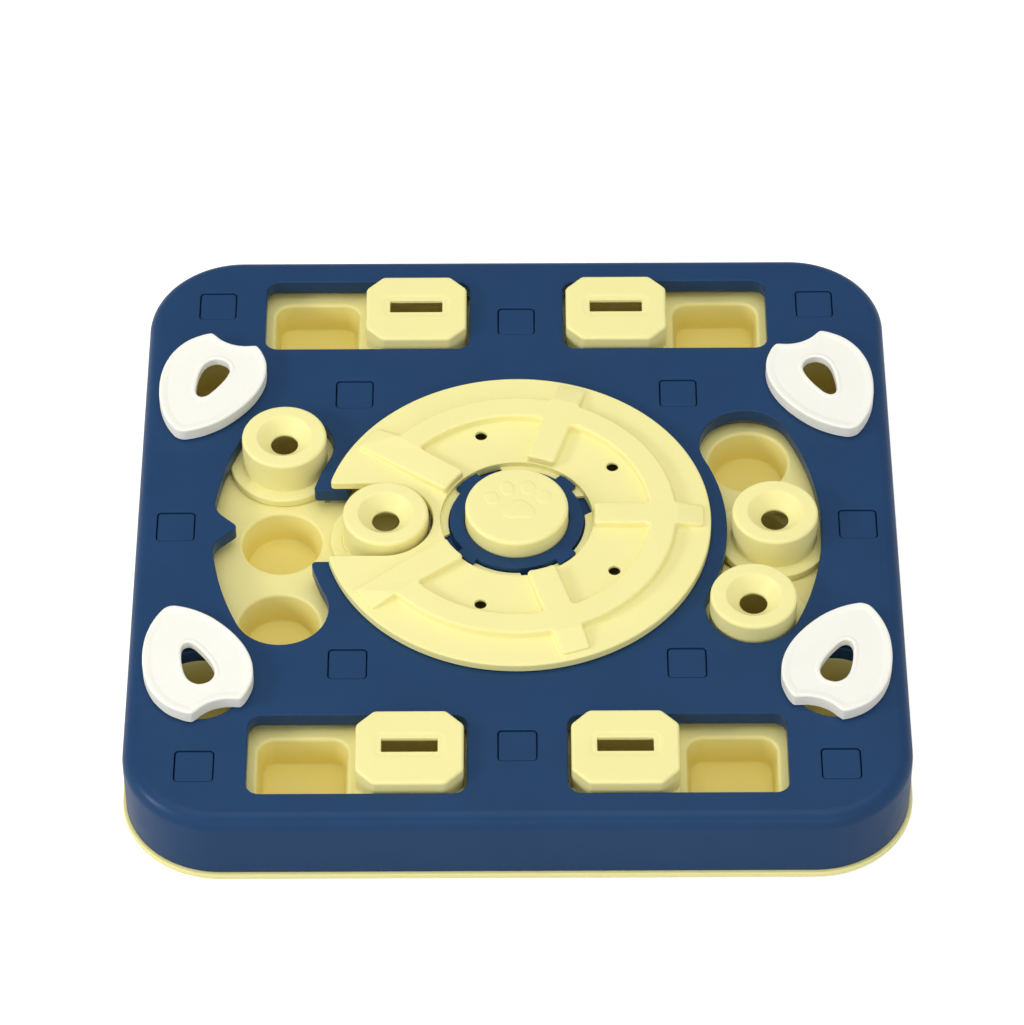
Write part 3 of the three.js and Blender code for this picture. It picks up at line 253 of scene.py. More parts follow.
def lathe(shell, profile, count=72, cx=0.0, cy=0.0):
    """A profile of (radius, height) turned round a vertical axis; it may start and end on the axis."""
    rings, centre = [], []
    for r, z in profile:
        if r < 1e-6:
            centre.append(len(shell.points))
            shell.points.append((cx, cy, z))
            rings.append(None)
        else:
            rings.append(shell.ring(arc(cx, cy, r, 0, 360, count)[:-1], z))
    open_ended = bool(centre)
    pairs = list(zip(rings, rings[1:]))
    if not open_ended:
        pairs.append((rings[-1], rings[0]))
    ends = iter(centre)
    for a, b in pairs:
        if a is None or b is None:
            apex, ring = next(ends), b if a is None else a
            n = len(ring)
            shell.faces += [(apex, ring[i], ring[(i + 1) % n]) for i in range(n)]
        else:
            shell.band(a, b)


def fillet(profile, steps=4):
    """Rounds the corners of a profile of (radius, height, edge) points, leaving edge 0 sharp."""
    out = []
    n = len(profile)
    for i, (r, z, edge) in enumerate(profile):
        if edge <= 0 or i in (0, n - 1):
            out.append((r, z))
            continue
        p = np.array((r, z), float)
        before = np.array(profile[i - 1][:2], float)
        after = np.array(profile[i + 1][:2], float)
        a = (before - p) / np.hypot(*(before - p))
        b = (after - p) / np.hypot(*(after - p))
        half = math.acos(max(-1, min(1, float(a @ b)))) / 2
        reach = edge / math.tan(half)
        middle = a + b
        centre = p + middle / np.hypot(*middle) * edge / math.sin(half)
        s, e = p + a * reach - centre, p + b * reach - centre
        start, end = math.atan2(s[1], s[0]), math.atan2(e[1], e[0])
        turn = (end - start + math.pi) % (2 * math.pi) - math.pi
        for k in range(steps + 1):
            t = start + turn * k / steps
            q = centre + edge * np.array((math.cos(t), math.sin(t)))
            out.append((float(q[0]), float(q[1])))
    return out


# Materials


def plastic(name, base, roughness, gloss_level=0.5, grain=0.35, tint=0.035, scatter=0.0, painted_cup_shade=None):
    """Moulded plastic: a faint cloudiness in the colour, uneven gloss and a fine spark-eroded grain.
    The darker, fuller colour passed for the cups is painted low on the piece, fullest 8 to 12 mm up and
    gone by about 25 mm up: painted shade in the cups."""
    mat = bpy.data.materials.new(name)
    mat.use_nodes = True
    nodes, links = mat.node_tree.nodes, mat.node_tree.links
    shader = nodes["Principled BSDF"]
    where = nodes.new("ShaderNodeTexCoord")
    cloud = nodes.new("ShaderNodeTexNoise")
    cloud.inputs["Scale"].default_value = 38
    cloud.inputs["Detail"].default_value = 3
    links.new(where.outputs["Object"], cloud.inputs["Vector"])
    colours = nodes.new("ShaderNodeValToRGB")
    colours.color_ramp.elements[0].position = 0.3
    colours.color_ramp.elements[1].position = 0.7
    colours.color_ramp.elements[0].color = [c * (1 - tint) for c in base] + [1]
    colours.color_ramp.elements[1].color = [min(1, c * (1 + tint)) for c in base] + [1]
    links.new(cloud.outputs["Fac"], colours.inputs["Fac"])
    # Painted shade: below about 25 mm up, the colour is mixed towards the darker cup colour, fullest 8 to
    # 12 mm up.
    if painted_cup_shade:
        height = nodes.new("ShaderNodeSeparateXYZ")
        links.new(where.outputs["Object"], height.inputs["Vector"])
        level = nodes.new("ShaderNodeMapRange")
        level.inputs["From Max"].default_value = 0.04
        links.new(height.outputs["Z"], level.inputs["Value"])
        depth = nodes.new("ShaderNodeValToRGB")
        stops = depth.color_ramp.elements
        stops[0].position, stops[1].position = 0.1, PAINTED_SHADE_END
        for stop in (stops.new(0.2), stops.new(PAINTED_SHADE_START)):
            stop.color = (1, 1, 1, 1)
        stops[0].color = stops[-1].color = (0, 0, 0, 1)
        links.new(level.outputs["Result"], depth.inputs["Fac"])
        mix = nodes.new("ShaderNodeMix")
        mix.data_type = "RGBA"
        links.new(depth.outputs["Color"], mix.inputs["Factor"])
        links.new(colours.outputs["Color"], mix.inputs["A"])
        mix.inputs["B"].default_value = (*painted_cup_shade, 1)
        links.new(mix.outputs["Result"], shader.inputs["Base Color"])
    else:
        links.new(colours.outputs["Color"], shader.inputs["Base Color"])
    gloss = nodes.new("ShaderNodeTexNoise")
    gloss.inputs["Scale"].default_value = 160
    gloss.inputs["Detail"].default_value = 4
    links.new(where.outputs["Object"], gloss.inputs["Vector"])
    spread = nodes.new("ShaderNodeMapRange")
    spread.inputs["From Min"].default_value = 0.3
    spread.inputs["From Max"].default_value = 0.7
    spread.inputs["To Min"].default_value = roughness - 0.04
    spread.inputs["To Max"].default_value = roughness + 0.04
    links.new(gloss.outputs["Fac"], spread.inputs["Value"])
    links.new(spread.outputs["Result"], shader.inputs["Roughness"])
    fine = nodes.new("ShaderNodeTexNoise")
    fine.inputs["Scale"].default_value = 1400
    fine.inputs["Detail"].default_value = 2
    links.new(where.outputs["Object"], fine.inputs["Vector"])
    bump = nodes.new("ShaderNodeBump")
    bump.inputs["Strength"].default_value = grain
    bump.inputs["Distance"].default_value = 0.00004
    links.new(fine.outputs["Fac"], bump.inputs["Height"])
    links.new(bump.outputs["Normal"], shader.inputs["Normal"])
    shader.inputs["Specular IOR Level"].default_value = gloss_level
    if scatter:
        shader.inputs["Subsurface Weight"].default_value = scatter
        shader.inputs["Subsurface Radius"].default_value = (1.0, 0.8, 0.45)
        shader.inputs["Subsurface Scale"].default_value = 0.002
    return mat


def steel(name):
    mat = bpy.data.materials.new(name)
    mat.use_nodes = True
    nodes, links = mat.node_tree.nodes, mat.node_tree.links
    shader = nodes["Principled BSDF"]
    shader.inputs["Metallic"].default_value = 1.0
    where = nodes.new("ShaderNodeTexCoord")
    noise = nodes.new("ShaderNodeTexNoise")
    noise.inputs["Scale"].default_value = 700
    links.new(where.outputs["Object"], noise.inputs["Vector"])
    tone = nodes.new("ShaderNodeValToRGB")
    tone.color_ramp.elements[0].color = (0.32, 0.33, 0.34, 1)
    tone.color_ramp.elements[1].color = (0.52, 0.53, 0.54, 1)
    links.new(noise.outputs["Fac"], tone.inputs["Fac"])
    links.new(tone.outputs["Color"], shader.inputs["Base Color"])
    rough = nodes.new("ShaderNodeMapRange")
    rough.inputs["To Min"].default_value = 0.25
    rough.inputs["To Max"].default_value = 0.45
    links.new(noise.outputs["Fac"], rough.inputs["Value"])
    links.new(rough.outputs["Result"], shader.inputs["Roughness"])
    return mat


# Heights, as shares of 40 mm, where the painted cup shade stays full and where it has faded out.
PAINTED_SHADE_START, PAINTED_SHADE_END = 0.3, 0.62
NAVY = plastic("navy plastic", (0.0105, 0.047, 0.127), 0.34, 0.19, grain=0.3, tint=0.04)
CREAM = plastic(
    "cream plastic",
    (0.92, 0.85, 0.365),
    0.45,
    0.35,
    grain=0.25,
    tint=0.012,
    scatter=0.1,
    # the darker colour painted in the cups as painted shade
    painted_cup_shade=(0.845, 0.71, 0.195),
)
WHITE = plastic("white plastic", (0.94, 0.93, 0.82), 0.42, 0.4, grain=0.2, tint=0.008, scatter=0.1)
FOOT = plastic("foot rubber", (0.028, 0.028, 0.03), 0.75, 0.3, grain=0.8, tint=0.08)
BELLOWS = plastic("bellows rubber", (0.74, 0.74, 0.68), 0.6, 0.3, grain=0.5, tint=0.04)
STEEL = steel("zinc plated steel")
SLOTS = {
    "navy_plastic": NAVY,
    "cream_plastic": CREAM,
    "white_plastic": WHITE,
    "foot_rubber": FOOT,
    "bellows_rubber": BELLOWS,
    "screw_steel": STEEL,
}
NODE_SLOT = {s["node"]: s["material_slot"] for s in frame["record"]["subparts"]}
for node, obj in frame["nodes"].items():
    obj.data.materials.clear()
    obj.data.materials.append(SLOTS[NODE_SLOT[node]])


def dress(shell, node, body, smooth=32.0):
    """Makes the piece that stands for a CAD node and gives it that node's body and material."""
    obj = shell.piece(node + "_look", smooth)
    obj.data.materials.append(SLOTS[NODE_SLOT[node]])
    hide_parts(node)
    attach(obj, body)
    return obj


# Cover

CHANNEL_RADIUS = 97.3
CHANNEL_HALF = 17.8
CHANNEL_ANGLE = 25.2
NECK_HALF = 18.0
OPENING_RADIUS = 67.0
LIP_WALL = 1.2
OPENING_EDGE = 0.6
PLUG_SITES = {"front": (0, -108.3), "rear": (0, 108.3), "left": (-129, 0), "right": (129, 0)}
for name, sx, sy in QUADRANTS:
    PLUG_SITES["corner_" + name] = (sx * 117.35, sy * 117.35)
    PLUG_SITES["inner_" + name] = (sx * 62.65, sy * 68.9)
LID_SLANT = math.radians(68.19)


def lid_frame(sx, sy):
    """A lid's tip and the direction of its axis."""
    along = np.array((-sx * math.cos(LID_SLANT), sy * math.sin(LID_SLANT)))
    return np.array((sx * 129.44, sy * 44.90)), along


def channel_end(side):
    """The round end of a channel, at its upper end for side 1 and its lower end for -1."""
    a = math.radians(CHANNEL_ANGLE)
    cx, cy = CHANNEL_RADIUS * math.cos(a), side * CHANNEL_RADIUS * math.sin(a)
    start = CHANNEL_ANGLE if side > 0 else 180 - CHANNEL_ANGLE
    return arc(cx, cy, CHANNEL_HALF, start, start + 180, 28)


def right_channel():
    outer = CHANNEL_RADIUS + CHANNEL_HALF
    inner = CHANNEL_RADIUS - CHANNEL_HALF
    return np.vstack(
        [
            arc(0, 0, outer, -CHANNEL_ANGLE, CHANNEL_ANGLE, 60),
            channel_end(1),
            arc(0, 0, inner, CHANNEL_ANGLE, -CHANNEL_ANGLE, 44),
            channel_end(-1),
        ]
    )


def bezier(a, control, b, count=6):
    t = np.linspace(0, 1, count + 1)[:, None]
    return (1 - t) ** 2 * a + 2 * t * (1 - t) * control + t**2 * b


def cusp():
    """The pointed wall's outline from its lower root to its upper root, drawn for the right side."""
    outer = CHANNEL_RADIUS + CHANNEL_HALF
    half, reach = 8.6, 4.4
    vertex = np.array((outer - 9.8, 0.0))
    root = np.array((math.sqrt(outer**2 - half**2), half))
    along = (root - vertex) / np.hypot(*(root - vertex))
    low, high = root - along * reach, vertex + along * 2.6
    out = np.array((math.sqrt(outer**2 - (half + reach) ** 2), half + reach))
    flip = np.array((1, -1))
    upper = np.vstack([bezier(high, (high + low) / 2, low, 4)[:-1], bezier(low, root, out, 12)])
    tip = bezier(high * flip, vertex, high, 8)
    return np.vstack([(upper * flip)[::-1], tip, upper]), out


def left_opening():
    """The left channel, its neck and the round opening under the disc, as one outline."""
    outer = CHANNEL_RADIUS + CHANNEL_HALF
    inner = CHANNEL_RADIUS - CHANNEL_HALF
    mouth = math.degrees(math.asin(NECK_HALF / OPENING_RADIUS))
    edge = 1.5
    cy = NECK_HALF + edge
    cx = math.sqrt((inner - edge) ** 2 - cy**2)
    touch = math.degrees(math.atan2(cy, cx))
    corner = arc(cx, cy, edge, -90, touch, 6)
    flip = np.array((1, -1))
    points, out = cusp()
    root = math.degrees(math.atan2(out[1], out[0]))
    parts = [
        arc(0, 0, OPENING_RADIUS, mouth, 360 - mouth, 110),
        corner * flip,
        arc(0, 0, inner, -touch, -CHANNEL_ANGLE, 12),
        channel_end(-1),
        arc(0, 0, outer, -CHANNEL_ANGLE, -root, 18),
        points,
        arc(0, 0, outer, root, CHANNEL_ANGLE, 18),
        channel_end(1),
        arc(0, 0, inner, CHANNEL_ANGLE, touch, 12),
        corner[::-1],
    ]
    return turned(np.vstack(parts), 180)


def opening_rows(edge=OPENING_EDGE, wall=LIP_WALL):
    foot = 0.3
    return convex(COVER_TOP, edge, side=1) + [
        (LIP_BOTTOM + foot, 0),
        (LIP_BOTTOM, foot),
        (LIP_BOTTOM, wall - foot),
        (LIP_BOTTOM + foot, wall),
        (CEILING, wall),
    ]


def top_cover():
    shell = Shell()
    outer = rounded(144, 144, 36, 24)
    rows = convex(COVER_TOP, 5.5, steps=10)
    rows += [(z, 0) for z in (20.0, 12.0, 4.0)]
    rows += [(COVER_FOOT + 0.4, 0), (COVER_FOOT, -0.4), (COVER_FOOT, -2.1)]
    rows += [(COVER_FOOT + 0.4, -2.5), (CEILING - 3, -2.5), (CEILING, -5.5)]
    top, ceiling = shell.tube(outer, rows)
    top_holes, ceiling_holes = [], []

    def opening(outline, rows):
        first, last = shell.tube(outline, rows)
        top_holes.append(first)
        ceiling_holes.append(last)

    opening(mitred(left_opening()), opening_rows())
    opening(mitred(right_channel()), opening_rows())
    for _, sx, sy in QUADRANTS:
        slot = rounded(39.95, 18.35, 5, 8, sx * 58.35, sy * 112.05)
        opening(slot, opening_rows())
        opening(circle(16.4, 56, sx * 117, sy * 78.7), opening_rows())
        tip, along = lid_frame(sx, sy)
        px, py = tip + along * 8.5
        opening(circle(3.5, 24, px, py), [(COVER_TOP, 0.3), (COVER_TOP - 0.3, 0), (CEILING, 0)])
    for x, y in PLUG_SITES.values():
        pocket = rounded(7.3, 7.3, 1.7, 4, x, y)
        first, floor = shell.tube(pocket, convex(COVER_TOP, 0.3, steps=3, side=1) + [(27.6, 0)])
        screw = circle(1.7, 16, x, y)
        hole, under = shell.tube(screw, [(27.6, 0), (LIP_BOTTOM, 0)])
        shell.cap(floor, [hole])
        post = rounded(8.7, 8.7, 3.1, 4, x, y)
        foot, last = shell.tube(post, [(LIP_BOTTOM, 0), (CEILING, 0)])
        shell.cap(foot, [under])
        top_holes.append(first)
        ceiling_holes.append(last)
    shell.cap(top, top_holes)
    shell.cap(ceiling, ceiling_holes)
    dress(shell, "top_cover", "housing")


def plugs():
    for name, (x, y) in PLUG_SITES.items():
        shell = Shell()
        outline = rounded(6.9, 6.9, 1.3, 4, x, y)
        rows = convex(31.1, 0.35, steps=3)
        rows += [(29.2 + 0.1, 0), (29.2, -0.1)]
        top, bottom = shell.tube(outline, rows)
        shell.cap(top)
        shell.cap(bottom)
        dress(shell, "plug_" + name, "housing")


# Trays


def cup(shell, outline, rim_z, taper, floor_z=CUP_FLOOR, rim=1.3, edge=0.9):
    """The inside of a cup; returns its rim ring and closes its floor."""
    depth = rim_z - floor_z
    slope = taper / depth
    rows = convex(rim_z, rim, spread=-slope * rim, side=1, steps=5)
    low = floor_z + edge
    rows.append((low, -taper + slope * edge))
    for k in range(1, 7):
        a = math.pi / 2 * k / 6
        inward = edge * (1 - math.cos(a))
        rows.append((low - edge * math.sin(a), -taper + slope * edge * (1 - k / 6) - inward))
    first, last = shell.tube(outline, rows)
    shell.cap(last)
    return first


def cup_outside(shell, outline, top_z, taper, bottom_z=CUP_BOTTOM, wall=1.8):
    """The outside of a cup; returns its upper ring and closes its underside."""
    slope = taper / (TRAY_TOP - CUP_FLOOR)
    at = lambda z: wall - slope * (TRAY_TOP - z)
    rows = [(top_z, at(top_z)), (bottom_z + 3, at(bottom_z + 3))]
    for k in range(1, 6):
        a = math.pi / 2 * k / 5
        rows.append((bottom_z + 3 - 3 * math.sin(a), at(bottom_z + 3) - 3 * (1 - math.cos(a))))
    first, last = shell.tube(outline, rows)
    shell.cap(last)
    return first


def tray(shell, outline, cups):
    """A flat tray with cups hanging from it; cups are (outline, taper) pairs."""
    rows = convex(TRAY_TOP, 0.3, steps=2) + [(DECK_TOP, 0)]
    top, bottom = shell.tube(outline, rows)
    shell.cap(top, [cup(shell, o, TRAY_TOP, t) for o, t in cups])
    shell.cap(bottom, [cup_outside(shell, o, DECK_TOP, t) for o, t in cups])


def slot_trays():
    for name, sx, sy in QUADRANTS:
        shell = Shell()
        x, y = sx * 58.35, sy * 112.05
        cups = [
            (rounded(16.6, 15.2, 6.5, 10, x + side * 20.1, y), 1.6) for side in (-1, 1)
        ]
        tray(shell, rounded(44.2, 22.3, 5, 6, x, y), cups)
        dress(shell, "slot_tray_" + name, "housing")


ROUND_CUP = 15.3
ROUND_CUP_X = 89.1
ROUND_CUP_YS = (-41.3, 0, 41.3)
TRAY_MARGIN = 3.2


def channel_plan(margin, bulge):
    """A channel spread by a margin, with a bulge round its middle cup, drawn for the right side."""
    inner = CHANNEL_RADIUS - CHANNEL_HALF - margin
    share = (inner**2 + ROUND_CUP_X**2 - bulge**2) / (2 * inner * ROUND_CUP_X)
    meet = math.acos(share)
    start = math.degrees(math.atan2(inner * math.sin(meet), inner * share - ROUND_CUP_X))
    return round_channel(margin, math.degrees(meet), arc(ROUND_CUP_X, 0, bulge, start, 360 - start, 24))


def neck_plan(margin, hub):
    """The left tray's outline, which reaches the hub under the neck, drawn for the right side."""
    half = NECK_HALF + margin
    meet = math.degrees(math.asin(half / (CHANNEL_RADIUS - CHANNEL_HALF - margin)))
    turn = math.degrees(math.asin(half / hub))
    return round_channel(margin, meet, arc(0, 0, hub, turn, -turn, 24))


def round_channel(margin, meet, middle):
    outer = CHANNEL_RADIUS + CHANNEL_HALF + margin
    inner = CHANNEL_RADIUS - CHANNEL_HALF - margin
    a = math.radians(CHANNEL_ANGLE)
    cx, cy = CHANNEL_RADIUS * math.cos(a), CHANNEL_RADIUS * math.sin(a)
    lobe = CHANNEL_HALF + margin
    return np.vstack(
        [
            arc(0, 0, outer, -CHANNEL_ANGLE, CHANNEL_ANGLE, 60),
            arc(cx, cy, lobe, CHANNEL_ANGLE, CHANNEL_ANGLE + 180, 28),
            arc(0, 0, inner, CHANNEL_ANGLE, meet, 12),
            middle,
            arc(0, 0, inner, -meet, -CHANNEL_ANGLE, 12),
            arc(cx, -cy, lobe, 180 - CHANNEL_ANGLE, 360 - CHANNEL_ANGLE, 28),
        ]
    )


def channel_trays():
    for side, sx in SIDES.items():
        shell = Shell()
        cups = [(circle(ROUND_CUP, 72, sx * ROUND_CUP_X, y), 2.2) for y in ROUND_CUP_YS]
        plan = channel_plan(TRAY_MARGIN, ROUND_CUP + 4.3)
        if sx < 0:
            plan = turned(neck_plan(TRAY_MARGIN, 28.1), 180)
        tray(shell, mitred(plan), cups)
        dress(shell, "channel_tray_" + side, "housing")


def base_tray():
    shell = Shell()
    rim = rounded(145.2, 145.2, 37.2, 24)
    wall = -4.0
    rows = [(DECK_TOP, wall - 0.3), (DECK_TOP - 0.3, wall), (COVER_FOOT, wall)]
    rows += [(z, d) for z, d in convex(COVER_FOOT, 0.5, steps=4)]
    rows += [(z, d) for z, d in convex(RIM_BOTTOM, 0.5, steps=4, up=False)][::-1]
    rows += [(RIM_BOTTOM, -7.5), (RIM_BOTTOM + 0.3, -7.8), (DECK_BOTTOM - 1, -7.8), (DECK_BOTTOM, -8.8)]
    top, bottom = shell.tube(rim, rows)
    top_holes, bottom_holes = [], []

    def passage(outline):
        first, last = shell.tube(outline, [(DECK_TOP, 0), (DECK_BOTTOM, 0)])
        top_holes.append(first)
        bottom_holes.append(last)

    plan = channel_plan(TRAY_MARGIN - 2.2, ROUND_CUP + 2.1)
    for turn in (0, 180):
        passage(mitred(turned(plan, turn)))
    for _, sx, sy in QUADRANTS:
        passage(rounded(40.8, 18.5, 5, 8, sx * 58.35, sy * 112.05))
        outline = circle(16.4, 56, sx * 117, sy * 78.7)
        inner = cup(shell, outline, LIP_BOTTOM, 2.0, rim=0.8)
        collar, foot = shell.tube(outline, [(LIP_BOTTOM, 1.8), (DECK_TOP, 1.2)])
        shell.cap(collar, [inner])
        top_holes.append(foot)
        bottom_holes.append(cup_outside(shell, outline, DECK_BOTTOM, 2.0))
    for x, y in PLUG_SITES.values():
        boss, head = shell.tube(circle(4, 24, x, y), [(DECK_TOP, 0), (LIP_BOTTOM, 0)])
        drill, end = shell.tube(circle(1.7, 16, x, y), [(LIP_BOTTOM, 0), (19.3, 0)])
        shell.cap(head, [drill])
        shell.cap(end)
        top_holes.append(boss)
    shell.cap(top, top_holes)
    shell.cap(bottom, bottom_holes)
    for _, sx, sy in QUADRANTS:
        corner = [(95.2, 95.2, 3), (138.5, 95.2, 0.5), (138.5, 138.5, 31), (95.2, 138.5, 0.5)]
        plan = round_corners(corner, 10) * (sx, sy)
        if sx * sy < 0:
            plan = plan[::-1]
        outline = mitred(plan)
        low, high = shell.tube(outline, [(RIM_BOTTOM + 0.05, 0), (COVER_FOOT - 0.05, 0)])
        well, ceiling = shell.tube(
            circle(10.3, 40, sx * 115, sy * 115), [(RIM_BOTTOM + 0.05, 0), (1.6, 0)]
        )
        shell.cap(low, [well])
        shell.cap(ceiling)
        shell.cap(high)
    dress(shell, "base_tray", "housing")


def feet():
    for name, sx, sy in QUADRANTS:
        shell = Shell()
        profile = [(0, 0, 0), (10, 0, 0.5), (10, 1.6, 0.2), (0, 1.6, 0)]
        lathe(shell, fillet(profile), 48, sx * 115, sy * 115)
        dress(shell, "foot_" + name, "housing")


# Moving pieces


def octagon(hx, hy, chamfer, edge=3.0):
    corners = [
        (hx, chamfer - hy),
        (hx, hy - chamfer),
        (hx - chamfer, hy),
        (chamfer - hx, hy),
        (-hx, hy - chamfer),
        (-hx, chamfer - hy),
        (chamfer - hx, -hy),
        (hx - chamfer, -hy),
    ]
    return round_corners([(x, y, edge) for x, y in corners])


def sliding_blocks():
    top_z, hx, hy = 35.6, 19.7, 17.25
    for name, sx, sy in QUADRANTS:
        shell = Shell()
        x, y = sx * 39.2, sy * 112.05
        shift = 0.9
        outline = mitred(octagon(hx, hy, 6.5) + (x, y))
        body = convex(top_z, 1.2, steps=6) + [(FLANGE_TOP + 0.3, 0), (FLANGE_TOP, -0.4)]
        top, foot = shell.tube(outline, body)
        # The rails under the cover, flush with the block's ends
        rail = rounded(hx, hy + 4.2, 0.6, 3, x, y)
        shelf, under = shell.tube(
            rail,
            [(FLANGE_TOP, -0.3), (FLANGE_TOP - 0.3, 0), (FLANGE_BOTTOM + 0.3, 0), (FLANGE_BOTTOM, -0.3)],
        )
        shell.cap(shelf, [foot])
        inner = mitred(octagon(hx - 2, hy - 2, 5.3, 1.4) + (x, y))
        mouth, ceiling = shell.tube(inner, [(FLANGE_BOTTOM, 0), (34.1 - 1, 0), (34.1, -1)])
        shell.cap(under, [mouth])
        slot = rounded(10.225, 3.05, 0.35, 3, x, y + shift)
        frame_rows = [
            (top_z, 3.1),
            (top_z - 0.03, 2.8),
            (top_z - 0.17, 2.1),
            (top_z - 0.2, 1.8),
            (top_z - 0.2, 1.0),
            (top_z - 0.14, 0.55),
            (top_z - 0.25, 0.2),
            (top_z - 0.6, 0),
            (34.1, 0),
        ]
        first, last = shell.tube(slot, frame_rows)
        shell.cap(top, [first])
        shell.cap(ceiling, [last])
        dress(shell, "slide_block_" + name, "slide_block_" + name)


PUCKS = {
    "puck_rear_left": (-88.9, 39.9),
    "puck_notch": (-49.5, 0),
    "puck_right_middle": (97.5, 0),
    "puck_right_front": (88, -42.1),
}


def pucks():
    top = 38.8
    for name, (x, y) in PUCKS.items():
        shell = Shell()
        profile = [
            (13.7, 36.3, 0.8),
            (13.7, FLANGE_BOTTOM, 0.3),
            (21.2, FLANGE_BOTTOM, 0.4),
            (21.2, FLANGE_TOP, 0.7),
            (17.0, FLANGE_TOP, 0.2),
            (16.6, FLANGE_TOP - 0.35, 0.15),
            (16.2, FLANGE_TOP, 0.1),
            (16.2, top, 1.3),
            (10.4, top, 1.1),
            (5.2, 33.9, 0.5),
            (5.2, 32.5, 0.3),
            (9.4, 36.3, 0.5),
        ]
        loop = [profile[-1], *profile, profile[0]]
        lathe(shell, fillet(loop, 5)[1:-1], 96, x, y)
        dress(shell, name, name, 40)


LID_SHARES = [
    (0.0042, 0.0272),
    (0.0256, 0.0701),
    (0.1001, 0.162),
    (0.226, 0.2633),
    (0.4104, 0.3502),
    (0.5674, 0.3894),
    (0.6911, 0.395),
    (0.7946, 0.3794),
    (0.9119, 0.3317),
    (1.005, 0.2543),
    (1.039, 0.2122),
    (1.05, 0.1882),
    (1.043, 0.1642),
    (1.0156, 0.1023),
    (1.0, 0.034),
]
EYE_SHARES = [
    (0.392, 0.011),
    (0.4004, 0.028),
    (0.4304, 0.0521),
    (0.4805, 0.0711),
    (0.5445, 0.0901),
    (0.6106, 0.1041),
    (0.6727, 0.1101),
    (0.7327, 0.1021),
    (0.7788, 0.0741),
    (0.8048, 0.034),
]
LID_LENGTH = 49.95
LID_DISH = ((0, 1.1), (0.08, 1.8), (0.22, 2.5), (0.34, 3.1), (0.38, 3.6))


def catmull(points, steps):
    """A closed smooth curve through points."""
    p = np.asarray(points, float)
    n = len(p)
    out = []
    for i in range(n):
        a, b, c, d = p[i - 1], p[i], p[(i + 1) % n], p[(i + 2) % n]
        knots = [0.0]
        for u, v in ((a, b), (b, c), (c, d)):
            knots.append(knots[-1] + math.sqrt(max(np.hypot(*(v - u)), 1e-6)))
        t = np.linspace(knots[1], knots[2], steps, endpoint=False)[:, None]
        t0, t1, t2, t3 = knots
        a1 = (t1 - t) / (t1 - t0) * a + (t - t0) / (t1 - t0) * b
        a2 = (t2 - t) / (t2 - t1) * b + (t - t1) / (t2 - t1) * c
        a3 = (t3 - t) / (t3 - t2) * c + (t - t2) / (t3 - t2) * d
        b1 = (t2 - t) / (t2 - t0) * a1 + (t - t0) / (t2 - t0) * a2
        b2 = (t3 - t) / (t3 - t1) * a2 + (t - t1) / (t3 - t1) * a3
        out.append((t2 - t) / (t2 - t1) * b1 + (t - t1) / (t2 - t1) * b2)
    return np.vstack(out)


def mirrored(shares, steps):
    """A smooth closed outline through half its points and their mirror image, in millimetres."""
    half = np.array(shares)
    return catmull(np.vstack([half * (1, -1), half[::-1]]) * LID_LENGTH, steps)


LID_PLAN = np.roll(mirrored(LID_SHARES, 8), 4, axis=0)


def untangle(q, reach=30):
    """Draws each small loop that an inset leaves in an outline together at the point where it crosses."""
    n = len(q)
    i = 0
    while i < n - 2:
        for j in range(min(i + reach, n - 2), i + 1, -1):
            a, b = q[i + 1] - q[i], q[j + 1] - q[j]
            cross = a[0] * b[1] - a[1] * b[0]
            if abs(cross) < 1e-12:
                continue
            w = q[j] - q[i]
            t = (w[0] * b[1] - w[1] * b[0]) / cross
            u = (w[0] * a[1] - w[1] * a[0]) / cross
            if 0 < t < 1 and 0 < u < 1:
                q[i + 1 : j + 1] = q[i] + a * t
                i = j
                break
        i += 1


def lid_outline(d):
    """The lid's outline spread by a distance, in its own frame from its tip, symmetric about its axis."""
    q = mitred(LID_PLAN)(d)
    untangle(q)
    n = len(q)
    m = 1
    for k in range(n // 4):
        if q[k][1] > -0.3:
            m = k + 1
    for k in range(m):
        q[k] = (q[m][0], q[m][1] * k / m)
        q[-k] = (q[m][0], -q[m][1] * k / m)
    return q


